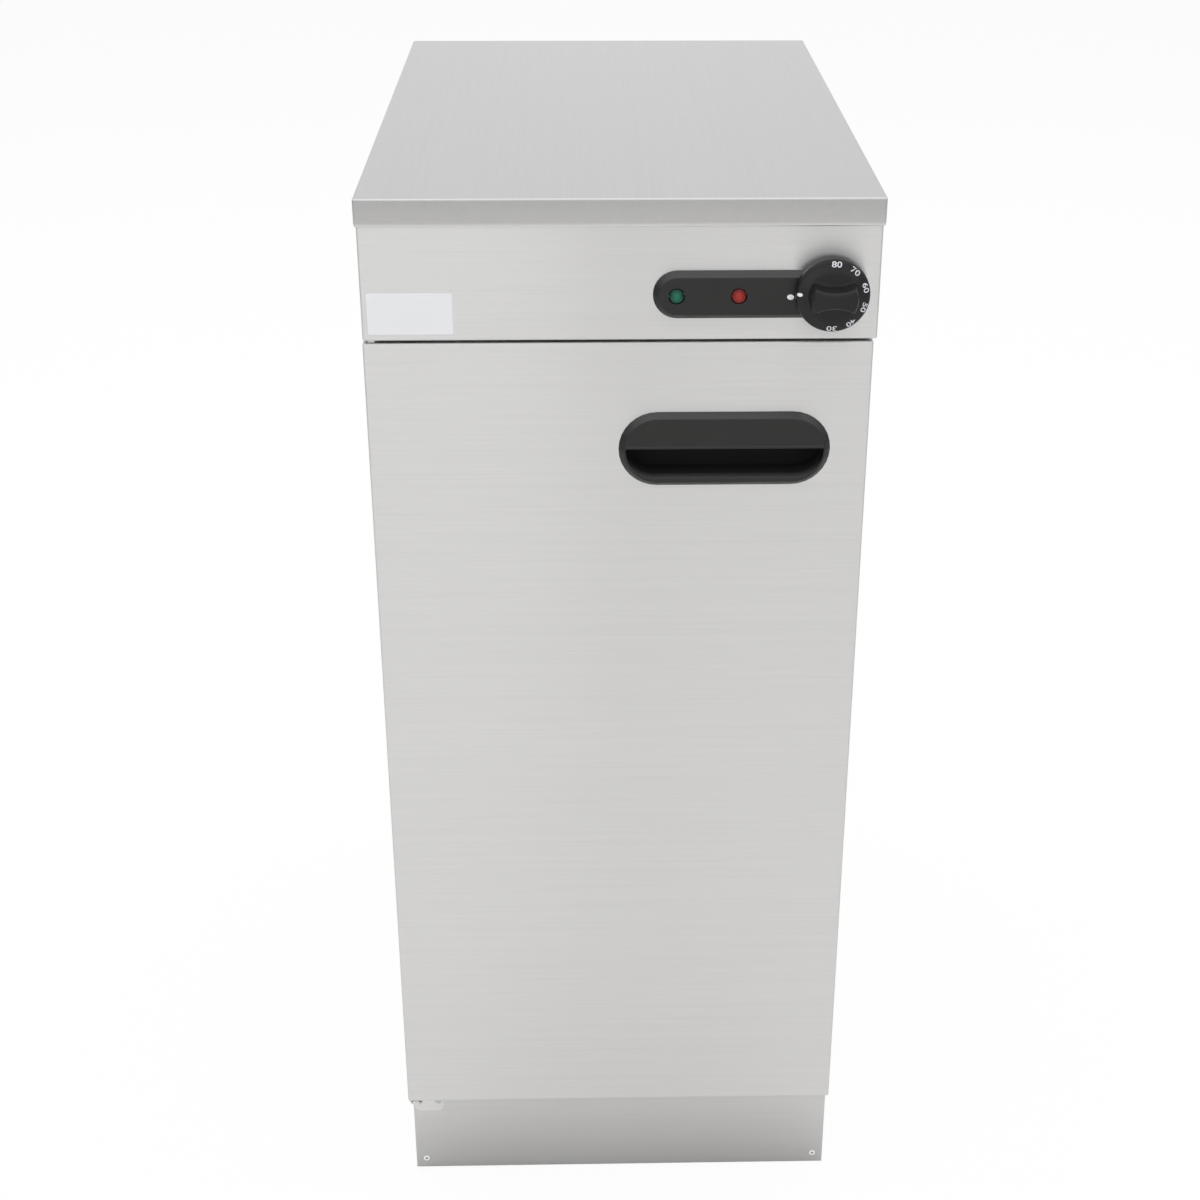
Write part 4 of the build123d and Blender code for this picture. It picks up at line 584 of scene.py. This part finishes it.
# ---------------------------------------------------------------- knob
KNOB_ROUND = 144
SHOULDER = 3.0 * MM
SHOULDER_TURN = radians(70)
SHOULDER_STEPS = 8
BLEND_SHARES = (0.35, 0.7)

# Finger bar from its foot to its top, in millimetres: how far drawn in, and how far out.
BAR_PROFILE = (
    (-0.35, 10.8),
    (-0.1, 10.95),
    (0.0, 11.4),
    (1.4, 20.2),
    (1.6, 21.2),
    (2.0, 22.0),
    (2.6, 22.6),
    (3.4, 22.95),
    (4.4, 23.0),
)


def dial_height(radius, rim):
    """Height of the knob's dial at a radius: a cone, then a round shoulder to the skirt."""
    dial = 8.0 * MM
    slope = 3.0 / 8.5
    shoulder_inner = rim - SHOULDER * (1 - cos(SHOULDER_TURN))
    if radius <= shoulder_inner:
        return dial + (rim - radius) * slope
    middle = dial + (rim - shoulder_inner) * slope - SHOULDER * sin(SHOULDER_TURN)
    over = (radius - rim + SHOULDER) / SHOULDER
    return middle + SHOULDER * sqrt(max(1 - over * over, 0))


def bar_reach(drawn_in):
    """Radius of the finger bar's outline at an angle: two scooped flanks and two round ends.

    blend is how sharply a flank turns into an end.
    """
    end = 18.0 * MM - drawn_in
    waist = 7.5 * MM - drawn_in
    scoop = 33.0 * MM + drawn_in
    middle = waist + scoop
    blend = 26

    def reach(angle):
        rise = abs(sin(angle))
        under = (middle * rise) ** 2 - middle**2 + scoop**2
        if under <= 0:
            return end
        flank = middle * rise - sqrt(under)
        return ((flank / end) ** -blend + 1) ** (-1 / blend) * end

    return reach


def dial_profile(rim):
    """Turned part of the knob, as (radius, out), from the bottom of its bore to its dial."""
    bore = 3.0 * MM
    bore_depth = 15.0 * MM
    hub = 5.5 * MM
    hollow = 5.0 * MM
    wall = 2.0 * MM
    soft = 0.3 * MM
    dial_inner = 20.2 * MM
    profile = [
        (bore, bore_depth),
        (bore, soft),
        (bore + soft, 0),
        (hub - soft, 0),
        (hub, soft),
        (hub, hollow),
        (rim - wall, hollow),
        (rim - wall, soft),
        (rim - wall + soft, 0),
        (rim - soft, 0),
        (rim, soft),
    ]
    for step in range(SHOULDER_STEPS + 1):
        radius = rim - SHOULDER * (1 - cos(SHOULDER_TURN * step / SHOULDER_STEPS))
        profile.append((radius, dial_height(radius, rim)))
    profile.append((dial_inner, dial_height(dial_inner, rim)))
    return profile


def part_way(first, second, share):
    """Outline that lies a share of the way from one to another with as many points."""
    pairs = zip(first, second)
    return [(a[0] + (b[0] - a[0]) * share, a[1] + (b[1] - a[1]) * share) for a, b in pairs]


def make_knob():
    """Dial and finger bar, hollow behind, with the bore for the spindle."""
    low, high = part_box("thermostat_knob")
    centre = front_middle(low, high)
    rim = (high.x - low.x) / 2
    tall = high.y - low.y
    blend_rise = 0.12 * MM

    def bar_ring(drawn_in):
        return round_outline(centre, bar_reach(drawn_in * MM), KNOB_ROUND)

    piece = Piece(facing_front(high.y))
    levels = [(round_outline(centre, radius, KNOB_ROUND), out) for radius, out in dial_profile(rim)]
    dial_ring = levels[-1][0]
    foot_ring = bar_ring(BAR_PROFILE[0][0])
    for share in BLEND_SHARES:
        levels.append((part_way(dial_ring, foot_ring, share), levels[-1][1] + blend_rise))
    levels += [(bar_ring(drawn_in), out * MM) for drawn_in, out in BAR_PROFILE]
    levels[-1] = (levels[-1][0], tall)
    piece.solid(levels)
    piece.finish("dial_knob", "knob", "knob_plastic", ["thermostat_knob"])


# ---------------------------------------------------------------- printed marks
DIAL_NUMBERS = (80, 70, 60, 50, 40, 30)
DIAL_FIRST_ANGLE = 87.0
DIAL_STEP = 35.6
FIXED_DOT = (0.1213, 0.8299)


def number_glyphs(number):
    """Mesh of a number, in the font's own units, 1 thick each way."""
    curve = bpy.data.curves.new("number", "FONT")
    curve.body = str(number)
    curve.extrude = 1.0
    curve.offset = 0.012
    text = bpy.data.objects.new("number", curve)
    glyphs = bpy.data.meshes.new_from_object(text)
    bpy.data.objects.remove(text)
    bpy.data.curves.remove(curve)
    return glyphs


def make_dial_numbers():
    """Printed temperature scale: plain numbers round the knob's dial, their tops outward."""
    low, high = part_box("thermostat_knob")
    centre_x, centre_z = front_middle(low, high)
    rim = (high.x - low.x) / 2
    middle = 23.4 * MM
    tall = 3.9 * MM
    wide = 7.2 * MM
    print_depth = 0.05 * MM
    joined = bmesh.new()
    for place, number in enumerate(DIAL_NUMBERS):
        turn = radians(DIAL_FIRST_ANGLE - place * DIAL_STEP)
        glyphs = number_glyphs(number)
        xs = [v.co.x for v in glyphs.vertices]
        ys = [v.co.y for v in glyphs.vertices]
        for vertex in glyphs.vertices:
            along = ((vertex.co.x - min(xs)) / (max(xs) - min(xs)) - 0.5) * wide
            radial = middle + ((vertex.co.y - min(ys)) / (max(ys) - min(ys)) - 0.5) * tall
            x = radial * cos(turn) + along * sin(turn)
            z = radial * sin(turn) - along * cos(turn)
            out = dial_height(sqrt(x * x + z * z), rim) + print_depth * vertex.co.z
            vertex.co = (centre_x + x, high.y - out, centre_z + z)
        joined.from_mesh(glyphs)
        bpy.data.meshes.remove(glyphs)
    bmesh.ops.remove_doubles(joined, verts=joined.verts, dist=0.001 * MM)
    bmesh.ops.recalc_face_normals(joined, faces=joined.faces)
    mesh = bpy.data.meshes.new("dial_numbers")
    joined.to_mesh(mesh)
    joined.free()
    place_mesh(mesh, "dial_numbers", "knob", "dial_ink")


def make_mark(name, body, centre, size, height, y):
    """Printed oval mark that follows what it is on.

    height gives how far out of the plane at y that surface is, at a point (x, z).
    """
    thick = 0.1 * MM
    rings = 8
    piece = Piece(lambda across, up, out: (across, y - height(across, up) - out, up))

    def oval(share):
        angles = [2 * pi * step / ROUND for step in range(ROUND)]
        wide, tall = size[0] / 2 * share, size[1] / 2 * share
        return [(centre[0] + wide * cos(a), centre[1] + tall * sin(a)) for a in angles]

    levels = [(oval(1 / rings), -thick), (oval(1.0), -thick), (oval(1.0), 0.4 * thick)]
    levels += [(oval(1 - step / rings), thick) for step in range(rings)]
    piece.solid(levels)
    piece.finish(name, body, "dot_ink")


def make_marks():
    """The fixed dot on the control plate and the dot on the knob that lines up with it."""
    plate_low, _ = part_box("control_bezel")
    knob_low, knob_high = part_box("thermostat_knob")
    rim = (knob_high.x - knob_low.x) / 2
    knob_x, knob_z = front_middle(knob_low, knob_high)
    fixed_size = (5.0 * MM, 3.8 * MM)
    knob_size = (3.8 * MM, 2.7 * MM)
    knob_dot = (knob_x - 24.0 * MM, knob_z + 1.4 * MM)

    def plate(x, z):
        return 0

    def dial(x, z):
        return dial_height(sqrt((x - knob_x) ** 2 + (z - knob_z) ** 2), rim)

    make_mark("fixed_dot", "cabinet", FIXED_DOT, fixed_size, plate, plate_low.y)
    make_mark("knob_dot", "knob", knob_dot, knob_size, dial, knob_high.y)


# ---------------------------------------------------------------- label
def make_label():
    """Blank stuck-on label with a softened edge."""
    low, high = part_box("name_label")
    thick = high.y - low.y
    corner = 0.9 * MM
    profile = [(0, 0), (0, 0.6 * thick), (0.05 * MM, 0.85 * thick), (0.2 * MM, thick), (1.6 * MM, thick)]
    piece = Piece(facing_front(high.y))
    flat_low, flat_high = (low.x, low.z), (high.x, high.z)
    piece.solid([(rounded(flat_low, flat_high, corner, i), out) for i, out in profile])
    piece.finish("blank_label", "cabinet", "label_sheet", ["name_label"])


# ---------------------------------------------------------------- handle
def make_handle():
    """Moulded pull: a bevelled flange, a cover over the upper half and a deep cup."""
    low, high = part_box("handle_cup")
    door_low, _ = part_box("door_outer_skin")
    proud = door_low.y - low.y
    back = door_low.y - high.y
    cover = 3.0 * MM
    cover_edge = 1.5 * MM
    wall = 2.0 * MM
    cup_half_long = 151.4 * MM / 2
    cup_half_tall = 45.0 * MM / 2
    ledge = 0.4 * MM
    soft = 1.0 * MM
    middle = front_middle(low, high)
    flange_radius = (high.z - low.z) / 2

    def flange(inset):
        return rounded((low.x, low.z), (high.x, high.z), flange_radius, inset)

    def cup(inset):
        corner_low = (middle[0] - cup_half_long, middle[1] - cup_half_tall)
        corner_high = (middle[0] + cup_half_long, middle[1] + cup_half_tall)
        return rounded(corner_low, corner_high, cup_half_tall, inset)

    def opening(end, foot, top):
        """The opening's outline, let out by an amount at its ends, foot and top."""
        reach = cup_half_long - wall - ledge + end
        drop = cup_half_tall - wall - ledge + foot
        corner_low = (middle[0] - reach, middle[1] - drop)
        corner_high = (middle[0] + reach, middle[1] + cover_edge + top)
        bend = 0.4 * MM + 0.5 * top
        return rounded(corner_low, corner_high, (drop, drop, bend, bend))

    piece = Piece(facing_front(door_low.y))
    outside = [(cup(soft * (1 - sin(a))), back + soft * (1 - cos(a))) for a in quarter(4)]
    outside += [(cup(0), 0)]
    outside += [(flange(i), out) for i, out in bevelled(proud, 4.0 * MM, 0.5 * MM)]
    cup_back, face = piece.stack(outside)
    piece.fill(cup_back)
    # Rounded bead round the opening: the share of its width, and millimetres out of the flange.
    bead = [(1.0, 0.0), (0.86, 0.1), (0.6, 0.5), (0.38, 0.62), (0.15, 0.48), (0.02, 0.1), (0.0, -0.3)]
    end, foot, top = 0.3 * MM, 2.2 * MM, 2.6 * MM
    inside = [(opening(share * end, share * foot, share * top), proud + out * MM) for share, out in bead]
    inside += [(opening(0, 0, 0), proud - cover)]
    bead_ring, under_cover = piece.stack(inside)
    piece.fill(face, bead_ring)
    cavity = [(cup(wall), proud - cover), (cup(wall), back + wall + soft)]
    cavity += [(cup(wall + soft * (1 - cos(a))), back + wall + soft * (1 - sin(a))) for a in quarter(4)]
    cavity_top, cavity_back = piece.stack(cavity)
    piece.fill(cavity_top, under_cover)
    piece.fill(cavity_back)
    piece.finish("pull_handle", "door", "handle_plastic", ["handle_cup"])


# ---------------------------------------------------------------- fasteners
SCREW_SHANK = 1.9 * MM
TINY = 1e-6


def cross_reach(scale, arm, half_width):
    """Radius of a cross-shaped recess at an angle."""

    def bar(angle):
        return min(arm / max(abs(cos(angle)), TINY), half_width / max(abs(sin(angle)), TINY))

    return lambda angle: scale * max(bar(angle), bar(angle + pi / 2))


def add_screw(piece, centre, head, head_out, length):
    """Pan-head screw with a cross recess. length is that of its shank."""
    round_levels = [
        (SCREW_SHANK * 0.7, -length),
        (SCREW_SHANK, -length + 0.6 * MM),
        (SCREW_SHANK, 0),
        (head, 0),
        (head, 0.35 * head_out),
        (0.95 * head, 0.66 * head_out),
        (0.82 * head, 0.88 * head_out),
        (0.64 * head, 0.99 * head_out),
    ]
    levels = turned(centre, round_levels)
    for scale, out in ((1.0, head_out), (0.95, 0.85 * head_out), (0.62, 0.15 * head_out)):
        levels.append((round_outline(centre, cross_reach(scale, 0.52 * head, 0.13 * head)), out))
    piece.solid(levels)


def make_rear_screws():
    """Screws down both edges of the rear panel."""
    low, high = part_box("rear_panel_screws")
    _, panel_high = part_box("rear_panel")
    head = 3.8 * MM
    piece = Piece(facing_back(panel_high.y))
    head_out = high.y - panel_high.y
    rows = 4
    for x in (low.x + head, high.x - head):
        for row in range(rows):
            z = low.z + head + row * (high.z - low.z - 2 * head) / (rows - 1)
            add_screw(piece, (x, z), head, head_out, panel_high.y - low.y)
    piece.finish("rear_panel_screws_pan", "cabinet", "zinc_steel", ["rear_panel_screws"])


def make_bracket_screws():
    """Screws that hold the lower hinge bracket, one above the other."""
    low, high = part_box("bottom_bracket_screws")
    head = (high.x - low.x) / 2
    out = 0.7 * MM
    seat = low.y + out
    piece = Piece(facing_front(seat))
    for z in (low.z + head, high.z - head):
        add_screw(piece, ((low.x + high.x) / 2, z), head, out, high.y - seat)
    piece.finish("bracket_screws_pan", "cabinet", "zinc_steel", ["bottom_bracket_screws"])


def make_rivets():
    """Open pop rivets: a domed alloy flange round the broken end of the mandrel, coloured near black as
    painted shade of the hole.
    """
    low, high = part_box("plinth_rivets")
    plinth_low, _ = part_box("plinth_panel")
    head = (high.z - low.z) / 2
    # Both profiles are the radius as a share of the head's, and millimetres out of the plinth.
    domed = [
        (0.57, -3.9),
        (0.57, -0.02),
        (1.0, 0.0),
        (1.0, 0.3),
        (0.97, 0.5),
        (0.88, 0.66),
        (0.70, 0.76),
        (0.50, 0.78),
        (0.41, 0.68),
        (0.38, 0.4),
        (0.37, -0.6),
    ]
    # The mandrel fills the hole, and its dark colour is painted shade.
    mandrel = [(0.34, -0.9), (0.34, -0.25), (0.28, -0.1), (0.16, -0.04)]
    places = [(x, (low.z + high.z) / 2) for x in (low.x + head, high.x - head)]
    halves = (("pop_rivets", "rivet_alloy", domed), ("rivet_mandrels", "mandrel_shaded_dark", mandrel))
    for name, look, profile in halves:
        piece = Piece(facing_front(plinth_low.y))
        for centre in places:
            piece.solid(turned(centre, [(share * head, out * MM) for share, out in profile]))
        piece.finish(name, "cabinet", look, ["plinth_rivets"])


# ---------------------------------------------------------------- studio
WATTS_PER_RADIANCE = 4.0
FLOOR_REACH = 14.0
FLOOR_PAINT = (0.87, 0.86, 0.84, 1)
FRONT_BOX = (2.8, 1.7)

# Where the surround changes for metal, as shares of a direction's length along an axis.
SIDE_ZONE = (0.6, 0.92)
FRONT_ZONE = (-0.75, -0.35)
TOP_ZONE = (0.32, 0.65)


def light_path_share(tree, shares):
    """How much of a stage's own white each kind of ray sees, from {output name: share}."""
    path = tree.nodes.new("ShaderNodeLightPath")
    total = None
    for name, share in shares.items():
        part = tree.nodes.new("ShaderNodeMath")
        part.operation = "MULTIPLY"
        tree.links.new(path.outputs[name], part.inputs[0])
        part.inputs[1].default_value = share
        if total is None:
            total = part.outputs[0]
            continue
        joined = tree.nodes.new("ShaderNodeMath")
        joined.operation = "ADD"
        joined.use_clamp = True
        tree.links.new(total, joined.inputs[0])
        tree.links.new(part.outputs[0], joined.inputs[1])
        total = joined.outputs[0]
    return total


def make_world(ambient, mirrored, mirrored_side, mirrored_front, mirrored_top):
    """White surround, dimmer as a light than as it is seen.

    Metal sees it darker at the sides and behind the camera, and brighter overhead.
    """
    world = bpy.data.worlds.new("studio")
    SCENE.world = world
    world.use_nodes = True
    tree = world.node_tree
    back = tree.nodes["Background"]
    back.inputs["Color"].default_value = (1, 1, 1, 1)
    where = tree.nodes.new("ShaderNodeTexCoord")
    parts = tree.nodes.new("ShaderNodeSeparateXYZ")
    tree.links.new(where.outputs["Generated"], parts.inputs[0])

    def fade(value, zone, low, high):
        """Runs smoothly from low to high while value crosses a zone."""
        made = tree.nodes.new("ShaderNodeMapRange")
        made.interpolation_type = "SMOOTHSTEP"
        tree.links.new(value, made.inputs["Value"])
        start, end = zone
        for key, number in (("From Min", start), ("From Max", end), ("To Min", low), ("To Max", high)):
            made.inputs[key].default_value = number
        return made.outputs[0]

    def maths(operation, first, second=None):
        """Adds a maths node of one or two values."""
        made = tree.nodes.new("ShaderNodeMath")
        made.operation = operation
        tree.links.new(first, made.inputs[0])
        if second:
            tree.links.new(second, made.inputs[1])
        return made.outputs[0]

    walls = fade(maths("ABSOLUTE", parts.outputs["X"]), SIDE_ZONE, mirrored, mirrored_side)
    front = fade(parts.outputs["Y"], FRONT_ZONE, mirrored_front / mirrored, 1.0)
    above = fade(parts.outputs["Z"], TOP_ZONE, 1.0, mirrored_top / mirrored)
    path = tree.nodes.new("ShaderNodeLightPath")
    seen = light_path_share(tree, {"Is Camera Ray": 1, "Is Transmission Ray": 1})
    chosen = tree.nodes.new("ShaderNodeMix")
    tree.links.new(path.outputs["Is Glossy Ray"], chosen.inputs[0])
    tree.links.new(fade(seen, (0, 1), ambient, 1.0), chosen.inputs[2])
    tree.links.new(maths("MULTIPLY", maths("MULTIPLY", walls, front), above), chosen.inputs[3])
    tree.links.new(chosen.outputs[0], back.inputs["Strength"])


def make_floor(glow):
    """White floor. glow is how much of what the camera sees of it is plain white."""
    corners = [(-1, -1), (1, -1), (1, 1), (-1, 1)]
    mesh = bpy.data.meshes.new("floor")
    mesh.from_pydata([(x * FLOOR_REACH, y * FLOOR_REACH, 0) for x, y in corners], [], [(0, 1, 2, 3)])
    floor = bpy.data.objects.new("floor", mesh)
    SCENE.collection.objects.link(floor)
    material = bpy.data.materials.new("floor")
    material.use_nodes = True
    tree = material.node_tree
    tree.nodes.clear()
    output = tree.nodes.new("ShaderNodeOutputMaterial")
    paint = tree.nodes.new("ShaderNodeBsdfDiffuse")
    paint.inputs["Color"].default_value = FLOOR_PAINT
    white = tree.nodes.new("ShaderNodeEmission")
    mix = tree.nodes.new("ShaderNodeMixShader")
    tree.links.new(light_path_share(tree, {"Is Camera Ray": glow}), mix.inputs[0])
    tree.links.new(paint.outputs[0], mix.inputs[1])
    tree.links.new(white.outputs[0], mix.inputs[2])
    tree.links.new(mix.outputs[0], output.inputs["Surface"])
    mesh.materials.append(material)


def softbox(name, place, target, size, radiance, mirrored=True):
    """Rectangular lamp that faces a target. mirrored says whether metal reflects it."""
    data = bpy.data.lights.new(name, "AREA")
    data.shape = "RECTANGLE"
    data.size, data.size_y = size
    data.energy = WATTS_PER_RADIANCE * size[0] * size[1] * radiance
    lamp = bpy.data.objects.new(name, data)
    lamp.visible_camera = False
    lamp.visible_glossy = mirrored
    SCENE.collection.objects.link(lamp)
    aim = Vector(target) - Vector(place)
    lamp.location = place
    lamp.rotation_mode = "QUATERNION"
    lamp.rotation_quaternion = aim.to_track_quat("-Z", "Y")


# ---------------------------------------------------------------- build
dress_frame()
make_worktop()
make_bezel()
make_lens("green_lamp_lens", "green_lens")
make_lens("red_lamp_lens", "red_lens")
make_knob()
make_dial_numbers()
make_marks()
make_label()
make_handle()
make_rear_screws()
make_bracket_screws()
make_rivets()

make_camera()
make_world(ambient=0.26, mirrored=0.81, mirrored_side=0.66, mirrored_front=0.64, mirrored_top=1.3)
make_floor(glow=0.95)
softbox("top_box", (0, 0.3, 2.8), (0, 0.3, 0), (6.0, 6.0), 1.27, mirrored=False)
softbox("left_box", (-1.4, -4.2, 1.1), (-1.4, 0, 1.1), FRONT_BOX, 0.80)
softbox("right_box", (1.5, -4.2, 1.1), (1.5, 0, 1.1), FRONT_BOX, 0.57)
SCENE.view_settings.view_transform = "Standard"
